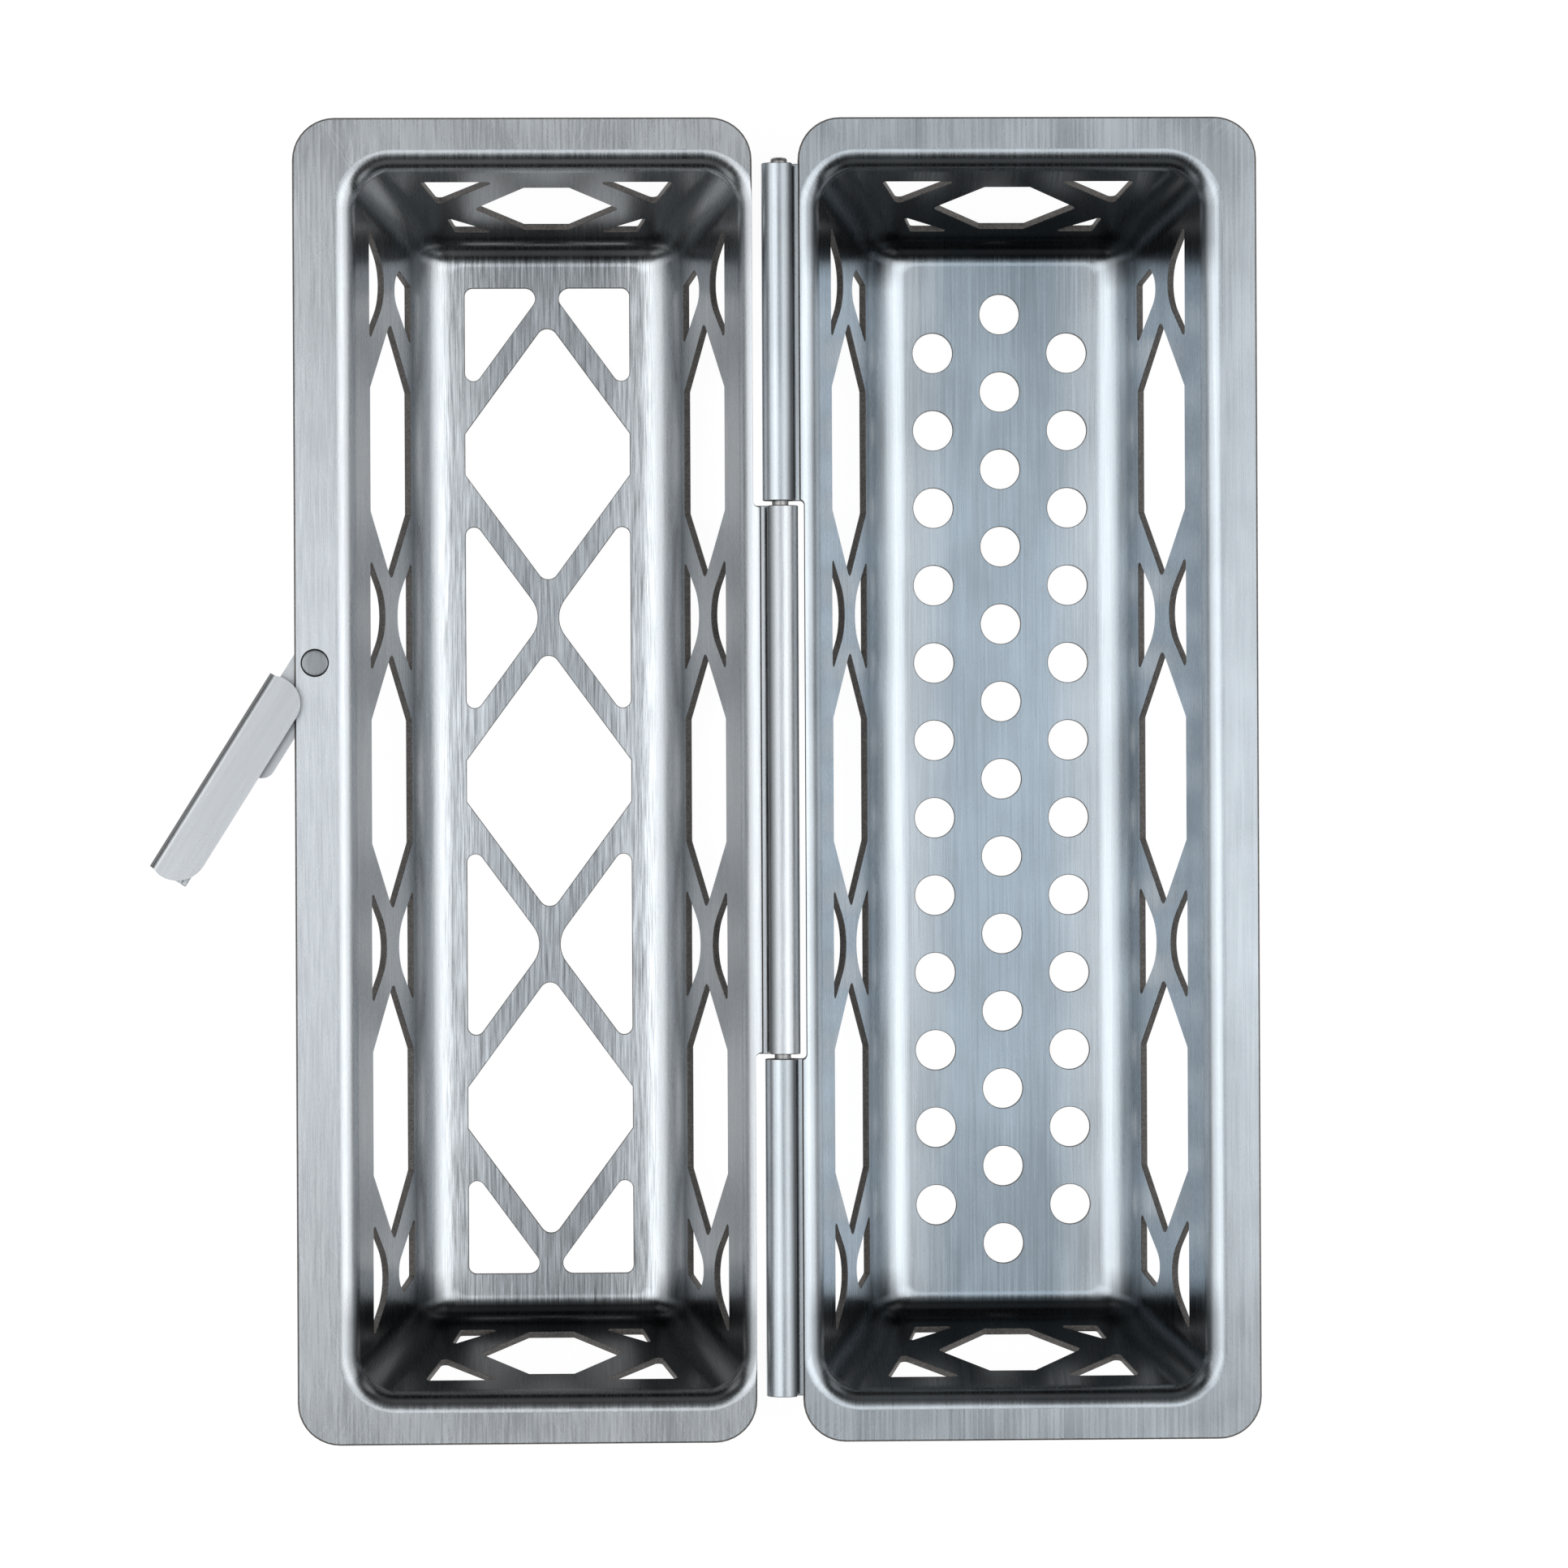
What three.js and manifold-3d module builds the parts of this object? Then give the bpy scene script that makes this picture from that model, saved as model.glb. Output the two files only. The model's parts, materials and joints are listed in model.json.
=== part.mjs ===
// Grill basket lying open flat: two perforated pressed-sheet trays, a rolled-knuckle hinge with
// its pin, and a swinging latch on a rivet.
// Millimetres. +X runs from the hinge towards the lid, +Y along the hinge, +Z up.
import * as THREE from "three";
import { mergeVertices } from "three/addons/utils/BufferGeometryUtils.js";
import Module from "manifold-3d";

const wasm = await Module();
wasm.setup();

const RIGHT_ANGLE = Math.PI / 2;
const radians = THREE.MathUtils.degToRad;

// Driving dimensions. Inside this file heights are measured from the rim plane, which is the
// upper face of both flanges, and distances across are measured from the hinge axis.
const LENGTH = 250;
const SHEET = 1.3;
const DEPTH = 34.5;
const CAVITY_X = 43.8;
const BASE_EDGE = 91.65;
const LID_EDGE = 90.35;
const RIM_CORNER = 8;
const BLANK = 12;
const RIM_BEND = 4.5;
// A cavity wall's reach from the cavity centre at the rim and at the floor, its floor bend's radius
// and the depth of the middle of its windows.
const SIDE = { rim: 40.2, floor: 17.9, floorBend: 8.5, windows: 18.5 };
const END = { rim: 119, floor: 99.3, floorBend: 5.5, windows: 16.3 };
const PLAN_CORNER = { rim: 11, wallTop: 6.9, wallFoot: 4.6, floor: 1.8 };
const BEND_STEPS = 4;
const CORNER_STEPS = 5;
const ARC_STEP = radians(20);

const HINGE = { lift: 0.15, inner: 2.05, neck: 1.5, freeEnd: 45, joint: 52.15, end: 116.2 };
const JOINT_GAP = 0.9;
const NOTCH_RADIUS = 0.8;
const FREE_EDGE = { base: 5.1, lid: 4.5 };
const PIN = { radius: 1.6, top: 117.4, chamfer: 0.3 };

// Wall windows, measured along the wall and up its slope from the middle of the windows.
const SIDE_HEXAGON = { pitch: 63, tip: 24.55, flat: 11.65, half: 9.95, tipRadius: 1 };
const SIDE_TRIANGLE = { base: 10.75, edge: 10.2, apex: 0.2, apexRadius: 8 };
const SIDE_TRIANGLE_CUT = { top: 0.6, side: 3.3, end: 4.6, apexRadius: 4.4 };
const END_HEXAGON = { middle: -1.8, tip: 13.65, flat: 4.25, half: 9.35, tipRadius: 0.8 };
const END_TRIANGLE_OVER = [[10.1, 10.1, 0.4], [23.9, 10.1, 0.6], [20.7, 0.2, 0.9]];
const END_TRIANGLE_UNDER = [[19.1, -5.9, 0.4], [17.5, -12.3, 0.6], [10.1, -12.3, 0.4]];
const FLOOR_WINDOW = { pitch: 63.2, half: 15.9, flat: 3.97, slope: 1.364, strut: 4.06, end: 95.25 };
const HOLES = { pitch: 15, row: 12.99, radius: 3.85, middleCount: 13 };

const RIVET = { x: -87.8, y: 22.4, head: 2.5, shank: 1.7, ring: 0.3, tail: 4 };
const LATCH = {
  sheet: 1,
  length: 42.7,
  top: 3,
  foot: -3.1,
  fold: 1.4,
  topWidth: 8.6,
  footWidth: 7.6,
  padWidth: 10.2,
  padLength: 17,
  lip: 0.5,
  pivot: { u: -6, v: 6, radius: 4.2 },
  restAngle: 32.2,
};

// Points of a closed outline whose corners are given as [x, y, radius].
function roundedOutline(corners) {
  const points = [];
  corners.forEach(([x, y, radius], i) => {
    const corner = new THREE.Vector2(x, y);
    if (!radius) {
      points.push(corner);
      return;
    }
    const before = corners[(i + corners.length - 1) % corners.length];
    const after = corners[(i + 1) % corners.length];
    const back = new THREE.Vector2(before[0] - x, before[1] - y).normalize();
    const on = new THREE.Vector2(after[0] - x, after[1] - y).normalize();
    const half = Math.acos(THREE.MathUtils.clamp(back.dot(on), -1, 1)) / 2;
    const sense = -Math.sign(back.cross(on));
    const centre = back.clone().add(on).normalize().multiplyScalar(radius / Math.sin(half)).add(corner);
    const start = back.multiplyScalar(radius / Math.tan(half)).add(corner).sub(centre);
    const turn = Math.PI - 2 * half;
    const steps = Math.max(2, Math.ceil(turn / ARC_STEP));
    for (let step = 0; step <= steps; step++) {
      const turned = start.clone().rotateAround(new THREE.Vector2(), (sense * turn * step) / steps);
      points.push(turned.add(centre));
    }
  });
  return points.filter((point, i) => point.distanceTo(points.at(i - 1)) > 1e-3);
}

function circleOutline(x, y, radius, steps) {
  return Array.from({ length: steps }, (_, i) => {
    const angle = (i / steps) * 2 * Math.PI;
    return new THREE.Vector2(x + radius * Math.cos(angle), y + radius * Math.sin(angle));
  });
}

function arcPoints(x, y, radius, from, to) {
  const steps = Math.max(2, Math.ceil(Math.abs(to - from) / ARC_STEP));
  return Array.from({ length: steps + 1 }, (_, i) => {
    const angle = from + ((to - from) * i) / steps;
    return new THREE.Vector2(x + radius * Math.cos(angle), y + radius * Math.sin(angle));
  });
}

function solid(geometry) {
  const bare = geometry.clone();
  bare.deleteAttribute("normal");
  bare.deleteAttribute("uv");
  const merged = mergeVertices(bare, 1e-4);
  return new wasm.Manifold(
    new wasm.Mesh({
      numProp: 3,
      vertProperties: new Float32Array(merged.attributes.position.array),
      triVerts: new Uint32Array(merged.index.array),
    }),
  );
}

// A prism over an outline, from height low to height high, then placed by a matrix.
function prism(outline, low, high, placement = new THREE.Matrix4()) {
  const geometry = new THREE.ExtrudeGeometry(new THREE.Shape(outline), {
    depth: high - low,
    bevelEnabled: false,
  });
  geometry.translate(0, 0, low);
  return solid(geometry.applyMatrix4(placement));
}

// A section drawn in the XZ plane, run along Y between two stations.
function runAlongY(section, from, to) {
  return prism(section, -to, -from, new THREE.Matrix4().makeRotationX(RIGHT_ANGLE));
}

function geometryOf(body) {
  const data = body.getMesh();
  const geometry = new THREE.BufferGeometry();
  geometry.setAttribute("position", new THREE.BufferAttribute(new Float32Array(data.vertProperties), 3));
  geometry.setIndex(new THREE.BufferAttribute(new Uint32Array(data.triVerts), 1));
  return geometry;
}

function meshOf(name, body, material) {
  const geometry = geometryOf(body);
  geometry.computeVertexNormals();
  const mesh = new THREE.Mesh(geometry, material);
  mesh.name = name;
  return mesh;
}

// The tilt from the vertical of the normal of a wall's straight stretch between its two bends.
function wallTilt({ rim, floor, floorBend }) {
  const bends = RIM_BEND + floorBend;
  const across = rim - floor;
  const drop = DEPTH - bends;
  return Math.asin(bends / Math.hypot(across, drop)) + Math.atan2(drop, across);
}

function wallTop(profile) {
  return -RIM_BEND * (1 - Math.cos(wallTilt(profile)));
}

function wallFoot(profile) {
  return -DEPTH + profile.floorBend * (1 - Math.cos(wallTilt(profile)));
}

// How far a cavity wall stands from the cavity centre at height z, and the tilt of its normal.
function wallAt(profile, z) {
  const tilt = wallTilt(profile);
  const top = wallTop(profile);
  if (z > top) {
    const angle = Math.acos(1 + z / RIM_BEND);
    return { reach: profile.rim - RIM_BEND * Math.sin(angle), tilt: angle };
  }
  if (z < wallFoot(profile)) {
    const angle = Math.acos(1 - (z + DEPTH) / profile.floorBend);
    return { reach: profile.floor + profile.floorBend * Math.sin(angle), tilt: angle };
  }
  const run = (top - z) / Math.tan(tilt);
  return { reach: profile.rim - RIM_BEND * Math.sin(tilt) - run, tilt };
}

// The cavity's corner radius in plan at height z.
function planCorner(z) {
  const top = wallTop(SIDE);
  const foot = wallFoot(SIDE);
  if (z > top) return PLAN_CORNER.rim - SIDE.rim + wallAt(SIDE, z).reach;
  if (z > foot) {
    return THREE.MathUtils.mapLinear(z, top, foot, PLAN_CORNER.wallTop, PLAN_CORNER.wallFoot);
  }
  const rise = (wallAt(SIDE, z).reach - SIDE.floor) / (wallAt(SIDE, foot).reach - SIDE.floor);
  return THREE.MathUtils.lerp(PLAN_CORNER.floor, PLAN_CORNER.wallFoot, rise);
}

// One counter-clockwise ring of four rounded corners about the cavity centre.
function ring(cornerPoint) {
  const points = [];
  for (let quarter = 0; quarter < 4; quarter++) {
    const right = quarter === 0 || quarter === 3 ? 1 : -1;
    const far = quarter < 2 ? 1 : -1;
    for (let step = 0; step <= CORNER_STEPS; step++) {
      points.push(cornerPoint(right, far, (quarter + step / CORNER_STEPS) * RIGHT_ANGLE));
    }
  }
  return points;
}

// The ring of the pressed skin at height z; offset 0 is the inner face, SHEET the outer face.
function skinRing(z, offset) {
  const side = wallAt(SIDE, z);
  const end = wallAt(END, z);
  const corner = planCorner(z);
  return ring((right, far, around) => {
    const tilt = THREE.MathUtils.lerp(side.tilt, end.tilt, Math.sin(around) ** 2);
    const out = corner + offset * Math.sin(tilt);
    return [
      CAVITY_X + right * (side.reach - corner) + out * Math.cos(around),
      far * (end.reach - corner) + out * Math.sin(around),
      z - offset * Math.cos(tilt),
    ];
  });
}

// The ring of the uncut blank, which reaches BLANK past the rim all round.
function blankRing(z) {
  return ring((right, far, around) => [
    CAVITY_X + right * (BASE_EDGE - CAVITY_X) + BLANK * Math.cos(around),
    far * (LENGTH / 2) + BLANK * Math.sin(around),
    z,
  ]);
}

// A closed solid over stacked rings, fanned shut at the first and the last.
function loft(rings) {
  const count = rings[0].length;
  const positions = rings.flat(2);
  const index = [];
  for (let level = 0; level + 1 < rings.length; level++) {
    for (let i = 0; i < count; i++) {
      const a = level * count + i;
      const b = level * count + ((i + 1) % count);
      index.push(a, b, b + count, a, b + count, a + count);
    }
  }
  const centre = rings.length * count;
  const last = centre - count;
  positions.push(CAVITY_X, 0, rings[0][0][2], CAVITY_X, 0, rings[rings.length - 1][0][2]);
  for (let i = 0; i < count; i++) {
    const next = (i + 1) % count;
    index.push(centre, next, i, centre + 1, last + i, last + next);
  }
  const geometry = new THREE.BufferGeometry();
  geometry.setAttribute("position", new THREE.Float32BufferAttribute(positions, 3));
  geometry.setIndex(index);
  return solid(geometry);
}

// The pressed tray before its rim is trimmed.
function pressedTray() {
  const levels = new Set();
  for (const profile of [SIDE, END]) {
    for (let step = 0; step <= BEND_STEPS; step += 1) {
      const rise = 1 - Math.cos((wallTilt(profile) * step) / BEND_STEPS);
      levels.add(Number((-RIM_BEND * rise).toFixed(3)));
      levels.add(Number((-DEPTH + profile.floorBend * rise).toFixed(3)));
    }
  }
  const heights = [...levels].sort((a, b) => b - a);
  return loft([
    ...heights.toReversed().map((z) => skinRing(z, SHEET)),
    blankRing(-SHEET),
    blankRing(0),
    ...heights.map((z) => skinRing(z, 0)),
  ]);
}

// The rolled knuckle in section: the flange dips under the pin, wraps up round the far side and
// over the top, and stops short of the flange again.
function knuckleSection() {
  const start = CAVITY_X - SIDE.rim;
  const tongue = start + 0.4;
  const inner = HINGE.inner;
  const outer = HINGE.inner + SHEET;
  const drop = HINGE.neck + HINGE.lift;
  const neckX = Math.sqrt((inner + HINGE.neck) ** 2 - drop ** 2);
  const meet = -Math.asin(drop / (inner + HINGE.neck));
  const freeEnd = radians(HINGE.freeEnd) - 2 * Math.PI;
  return [
    new THREE.Vector2(tongue, -0.3),
    new THREE.Vector2(start, -0.3),
    new THREE.Vector2(start, 0),
    ...arcPoints(neckX, -HINGE.neck, HINGE.neck, RIGHT_ANGLE, Math.PI + meet),
    ...arcPoints(0, HINGE.lift, inner, meet, freeEnd).slice(1),
    ...arcPoints(0, HINGE.lift, outer, freeEnd, meet),
    ...arcPoints(neckX, -HINGE.neck, HINGE.neck - SHEET, Math.PI + meet, RIGHT_ANGLE).slice(1),
    new THREE.Vector2(start, -SHEET),
    new THREE.Vector2(start, -SHEET + 0.3),
    new THREE.Vector2(tongue, -SHEET + 0.3),
  ];
}

function baseRimOutline() {
  const half = LENGTH / 2;
  const knuckle = HINGE.joint - JOINT_GAP / 2;
  const start = CAVITY_X - SIDE.rim;
  return roundedOutline([
    [BASE_EDGE, -half, RIM_CORNER],
    [BASE_EDGE, half, RIM_CORNER],
    [FREE_EDGE.base, half, RIM_CORNER],
    [FREE_EDGE.base, knuckle, NOTCH_RADIUS],
    [start, knuckle, 0],
    [start, -knuckle, 0],
    [FREE_EDGE.base, -knuckle, NOTCH_RADIUS],
    [FREE_EDGE.base, -half, RIM_CORNER],
  ]);
}

function lidRimOutline() {
  const half = LENGTH / 2;
  const knuckle = HINGE.joint + JOINT_GAP / 2;
  const start = CAVITY_X - SIDE.rim;
  return roundedOutline([
    [LID_EDGE, -half, RIM_CORNER],
    [LID_EDGE, half, RIM_CORNER],
    [start, half, RIM_CORNER],
    [start, knuckle, 0],
    [FREE_EDGE.lid, knuckle, NOTCH_RADIUS],
    [FREE_EDGE.lid, -knuckle, NOTCH_RADIUS],
    [start, -knuckle, 0],
    [start, -half, RIM_CORNER],
  ]);
}

// Places wall windows: x along the wall, y up its slope, z out through the sheet.
function wallFrame(profile, heading) {
  const { reach, tilt } = wallAt(profile, -profile.windows);
  const out = new THREE.Vector3(Math.cos(heading), Math.sin(heading), 0);
  const along = new THREE.Vector3(-Math.sin(heading), Math.cos(heading), 0);
  const upSlope = out.clone().multiplyScalar(Math.cos(tilt)).setZ(Math.sin(tilt));
  const outward = out.clone().multiplyScalar(Math.sin(tilt)).setZ(-Math.cos(tilt));
  return new THREE.Matrix4()
    .makeBasis(along, upSlope, outward)
    .setPosition(CAVITY_X + out.x * reach, out.y * reach, -profile.windows);
}

function hexagonOutline(x, y, { tip, flat, half, tipRadius }) {
  return roundedOutline([
    [x + flat, y - half, 0],
    [x + tip, y, tipRadius],
    [x + flat, y + half, 0],
    [x - flat, y + half, 0],
    [x - tip, y, tipRadius],
    [x - flat, y - half, 0],
  ]);
}

// Long hexagons in a row on a side wall, with a pair of blunt triangles over and under each waist.
// The two outermost lower triangles have a corner cut off where the floor bend rises.
function sideWallWindows() {
  const { base, edge, apex, apexRadius } = SIDE_TRIANGLE;
  const { pitch } = SIDE_HEXAGON;
  const outlines = [-1, 0, 1].map((place) => hexagonOutline(place * pitch, 0, SIDE_HEXAGON));
  for (const place of [-1.5, -0.5, 0.5, 1.5]) {
    const x = place * pitch;
    outlines.push(roundedOutline([[x + base, edge, 0.5], [x, apex, apexRadius], [x - base, edge, 0.5]]));
    if (Math.abs(place) < 1) {
      outlines.push(roundedOutline([[x - base, -edge, 0.5], [x + base, -edge, 0.5], [x, -apex, apexRadius]]));
    }
  }
  for (const end of [-1, 1]) {
    const x = end * 1.5 * pitch;
    const cut = [
      [x - end * base, -edge, 0.5],
      [x + end * SIDE_TRIANGLE_CUT.top, -edge, 0.5],
      [x + end * SIDE_TRIANGLE_CUT.side, -SIDE_TRIANGLE_CUT.end, 0.5],
      [x, -apex, SIDE_TRIANGLE_CUT.apexRadius],
    ];
    outlines.push(roundedOutline(end > 0 ? cut : cut.reverse()));
  }
  return outlines;
}

// One hexagon in the middle of an end wall with two triangles on each side of it.
function endWallWindows() {
  const outlines = [hexagonOutline(0, END_HEXAGON.middle, END_HEXAGON)];
  for (const corners of [END_TRIANGLE_OVER, END_TRIANGLE_UNDER]) {
    for (const side of [-1, 1]) {
      const placed = corners.map(([x, y, radius]) => [side * x, y, radius]);
      outlines.push(roundedOutline(side > 0 ? placed.reverse() : placed));
    }
  }
  return outlines;
}

// The base floor: three hexagons in a column with triangles filling the spaces between struts.
function floorLatticeWindows() {
  const { pitch, half, flat, slope, strut, end } = FLOOR_WINDOW;
  const tip = flat + half * slope;
  const shift = strut * Math.hypot(1, 1 / slope);
  const reach = (half - shift) * slope;
  const outlines = [];
  for (const place of [-1, 0, 1]) {
    const y = place * pitch;
    outlines.push([
      [half, y - flat, 0],
      [half, y + flat, 0],
      [0, y + tip, 2.1],
      [-half, y + flat, 0],
      [-half, y - flat, 0],
      [0, y - tip, 2.1],
    ]);
  }
  for (const side of [-1, 1]) {
    for (const place of [-0.5, 0.5]) {
      const y = place * pitch;
      const spread = reach - tip + pitch / 2;
      outlines.push([
        [side * half, y - spread, 1.6],
        [side * half, y + spread, 1.6],
        [side * (half - spread / slope), y, 5.8],
      ]);
    }
    for (const far of [-1, 1]) {
      outlines.push([
        [side * half, far * end, 1.5],
        [side * (shift - (end - pitch - tip) / slope), far * end, 2],
        [side * half, far * (pitch + tip - reach), 1.6],
      ]);
    }
  }
  return outlines.map((corners) => roundedOutline(corners.map(([x, y, r]) => [CAVITY_X + x, y, r])));
}

// The lid floor: three staggered columns of round holes.
function floorHoles() {
  const { pitch, row, radius, middleCount } = HOLES;
  const outlines = [];
  for (const column of [-1, 0, 1]) {
    const count = column === 0 ? middleCount : middleCount - 1;
    for (let i = 0; i < count; i++) {
      outlines.push(circleOutline(CAVITY_X + column * row, (i - (count - 1) / 2) * pitch, radius, 16));
    }
  }
  return outlines;
}

function wallCuts() {
  const cuts = [];
  for (let quarter = 0; quarter < 4; quarter++) {
    const onSide = quarter % 2 === 0;
    const frame = wallFrame(onSide ? SIDE : END, quarter * RIGHT_ANGLE);
    for (const outline of onSide ? sideWallWindows() : endWallWindows()) {
      cuts.push(prism(outline, -3, 5, frame));
    }
  }
  return cuts;
}

function tray(rimOutline, floorOutlines, knuckles) {
  let body = pressedTray().intersect(prism(rimOutline, -DEPTH - 5, 5));
  for (const [from, to] of knuckles) body = body.add(runAlongY(knuckleSection(), from, to));
  for (const cut of wallCuts()) body = body.subtract(cut);
  for (const outline of floorOutlines) body = body.subtract(prism(outline, -DEPTH - 4, -DEPTH + 2));
  return body;
}

// A solid of revolution about Z from [radius, height] pairs; an outline off the axis is closed.
function turned(profile, steps) {
  const points = profile.map(([radius, height]) => new THREE.Vector2(radius, height));
  const lathe = new THREE.LatheGeometry(points, steps);
  return solid(lathe.rotateX(RIGHT_ANGLE));
}

// The seat for the rivet's sunk head in the base flange, mirrored into the tray's own side.
function rivetSeat() {
  const wide = RIVET.head + RIVET.ring;
  const narrow = RIVET.shank + RIVET.ring;
  const seat = turned([[0, -3], [narrow, -3], [narrow, -1.15], [wide, -0.55], [wide, 1], [0, 1]], 24);
  return solid(geometryOf(seat).translate(-RIVET.x, RIVET.y, 0));
}

function baseTray(material) {
  const knuckle = HINGE.joint - JOINT_GAP / 2;
  const body = tray(baseRimOutline(), floorLatticeWindows(), [[-knuckle, knuckle]]);
  const mesh = meshOf("base_tray", body.subtract(rivetSeat()), material);
  mesh.scale.x = -1;
  return mesh;
}

function lidTray(material) {
  const knuckle = HINGE.joint + JOINT_GAP / 2;
  const knuckles = [
    [-HINGE.end, -knuckle],
    [knuckle, HINGE.end],
  ];
  return meshOf("lid_tray", tray(lidRimOutline(), floorHoles(), knuckles), material);
}

function hingePin(material) {
  const { radius, top, chamfer } = PIN;
  const pin = turned(
    [[0, -HINGE.end], [radius, -HINGE.end], [radius, top - chamfer], [radius - chamfer, top], [0, top]],
    24,
  );
  const mesh = meshOf("hinge_pin", pin, material);
  mesh.rotation.x = -RIGHT_ANGLE;
  mesh.position.z = HINGE.lift;
  return mesh;
}

function latchRivet(material) {
  const { head, shank, tail } = RIVET;
  const under = LATCH.foot - 0.3;
  const rivet = turned(
    [
      [0, under - 1.2],
      [tail - 0.8, under - 1.2],
      [tail, under - 0.6],
      [tail, under],
      [shank, under],
      [shank, -1.15],
      [head, -0.4],
      [head, 0],
      [0, 0],
    ],
    24,
  );
  const mesh = meshOf("latch_rivet", rivet, material);
  mesh.position.set(RIVET.x, RIVET.y, 0);
  return mesh;
}

// The latch's C section as [v, z]: top leaf, rounded fold and bottom leaf, open towards +v.
function latchSection() {
  const { sheet, top, foot, fold } = LATCH;
  const mouth = 14;
  const inner = fold - sheet;
  return [
    new THREE.Vector2(mouth, foot),
    new THREE.Vector2(mouth, foot + sheet),
    ...arcPoints(fold, foot + fold, inner, -RIGHT_ANGLE, -Math.PI),
    ...arcPoints(fold, top - fold, inner, Math.PI, RIGHT_ANGLE),
    new THREE.Vector2(mouth, top - sheet),
    new THREE.Vector2(mouth, top),
    ...arcPoints(fold, top - fold, fold, RIGHT_ANGLE, Math.PI),
    ...arcPoints(fold, foot + fold, fold, Math.PI, 1.5 * Math.PI),
  ];
}

function latchTopOutline() {
  const { length, topWidth } = LATCH;
  const bow = 0.5;
  return roundedOutline([
    [0, -1, 0],
    [length, -1, 0],
    [length, 0.8, 0],
    [length + bow, 2.4, 0],
    [length + bow, topWidth, 6],
    [-bow, topWidth, 5.2],
    [-bow, 2.4, 0],
    [0, 0.8, 0],
  ]);
}

function latchFootOutline() {
  const { length, footWidth, padWidth, padLength, pivot } = LATCH;
  const { u, v, radius } = pivot;
  return roundedOutline([
    [0, -1, 0],
    [length, -1, 0],
    [length, footWidth, 0.4],
    [padLength + 1.5, footWidth, 1.2],
    [padLength, padWidth, 2.5],
    [u - radius, padWidth, radius],
    [u - radius, v - radius, radius],
    [0, v - radius, 0],
  ]);
}

function latch(material) {
  const { length, sheet, foot, footWidth, padLength, lip, pivot, restAngle } = LATCH;
  const { u, v } = pivot;
  const stand = new THREE.Matrix4().makeBasis(
    new THREE.Vector3(0, 1, 0),
    new THREE.Vector3(0, 0, 1),
    new THREE.Vector3(1, 0, 0),
  );
  const channel = prism(latchSection(), -14, length + 2, stand);
  const topHalf = channel.intersect(prism(latchTopOutline(), 0, 5));
  const footHalf = channel.intersect(prism(latchFootOutline(), -5, 0));
  const lipOutline = [
    [padLength + 4, footWidth - sheet],
    [length, footWidth - sheet],
    [length, footWidth],
    [padLength + 4, footWidth],
  ].map(([a, b]) => new THREE.Vector2(a, b));
  const lipBody = prism(lipOutline, foot + sheet / 2, foot + sheet + lip);
  const bore = prism(circleOutline(u, v, RIVET.shank + RIVET.ring, 24), -5, 0);
  const body = topHalf.add(footHalf).add(lipBody).subtract(bore);
  const centred = solid(geometryOf(body).translate(-u, -v, 0));
  const mesh = meshOf("latch", centred, material);
  mesh.rotation.z = -RIGHT_ANGLE - radians(restAngle);
  mesh.position.set(RIVET.x, RIVET.y, 0);
  return mesh;
}

function steel(colour, roughness) {
  return new THREE.MeshStandardMaterial({ color: colour, roughness, metalness: 1 });
}

const basket = new THREE.Group();
basket.name = "grill_basket";
basket.add(
  baseTray(steel(0xb9bec3, 0.38)),
  lidTray(steel(0xbcc1c6, 0.34)),
  hingePin(steel(0x9a9da0, 0.3)),
  latch(steel(0xd2d6da, 0.28)),
  latchRivet(steel(0x8e9296, 0.4)),
);

// The finished part stands on its trays' undersides, centred over the origin.
const box = new THREE.Box3().setFromObject(basket, true);
basket.position.set(-(box.min.x + box.max.x) / 2, -(box.min.y + box.max.y) / 2, -box.min.z);
const root = new THREE.Group();
root.add(basket);

export default root;
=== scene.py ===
import json
import math
import random
from types import SimpleNamespace

import bpy
import numpy as np
from mathutils import Matrix, Vector


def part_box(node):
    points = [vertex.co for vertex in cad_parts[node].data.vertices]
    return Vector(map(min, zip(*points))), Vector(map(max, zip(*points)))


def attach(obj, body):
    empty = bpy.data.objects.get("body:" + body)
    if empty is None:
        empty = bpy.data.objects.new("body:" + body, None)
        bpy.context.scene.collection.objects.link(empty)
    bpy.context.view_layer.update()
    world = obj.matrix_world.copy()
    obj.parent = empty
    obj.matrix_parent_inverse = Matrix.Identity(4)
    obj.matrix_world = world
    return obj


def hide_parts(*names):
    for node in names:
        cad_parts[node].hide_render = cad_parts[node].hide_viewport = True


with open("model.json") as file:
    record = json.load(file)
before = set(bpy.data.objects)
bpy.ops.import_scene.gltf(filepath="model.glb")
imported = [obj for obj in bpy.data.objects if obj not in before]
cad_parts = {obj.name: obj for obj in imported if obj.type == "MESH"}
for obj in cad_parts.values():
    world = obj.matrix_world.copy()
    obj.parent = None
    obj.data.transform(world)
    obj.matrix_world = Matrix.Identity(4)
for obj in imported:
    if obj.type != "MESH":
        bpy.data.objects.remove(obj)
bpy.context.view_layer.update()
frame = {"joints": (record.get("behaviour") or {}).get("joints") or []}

# Driving dimensions in millimetres. In a tray's own frame X is the distance from the hinge axis,
# Y runs along the hinge and Z is the height over the rim plane.
LENGTH = 250
SHEET = 1.3
DEPTH = 34.5
CAVITY_X = 43.8
BASE_EDGE = 91.65
LID_EDGE = 90.35
RIM_CORNER = 8
BLANK = 12
RIM_BEND = 4.5
# A cavity wall's reach from the cavity centre at the rim and at the floor, its floor bend's radius
# and the depth of the middle of its windows.
SIDE = SimpleNamespace(rim=40.2, floor=17.9, floor_bend=8.5, windows=18.5)
END = SimpleNamespace(rim=119, floor=99.3, floor_bend=5.5, windows=16.3)
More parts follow.
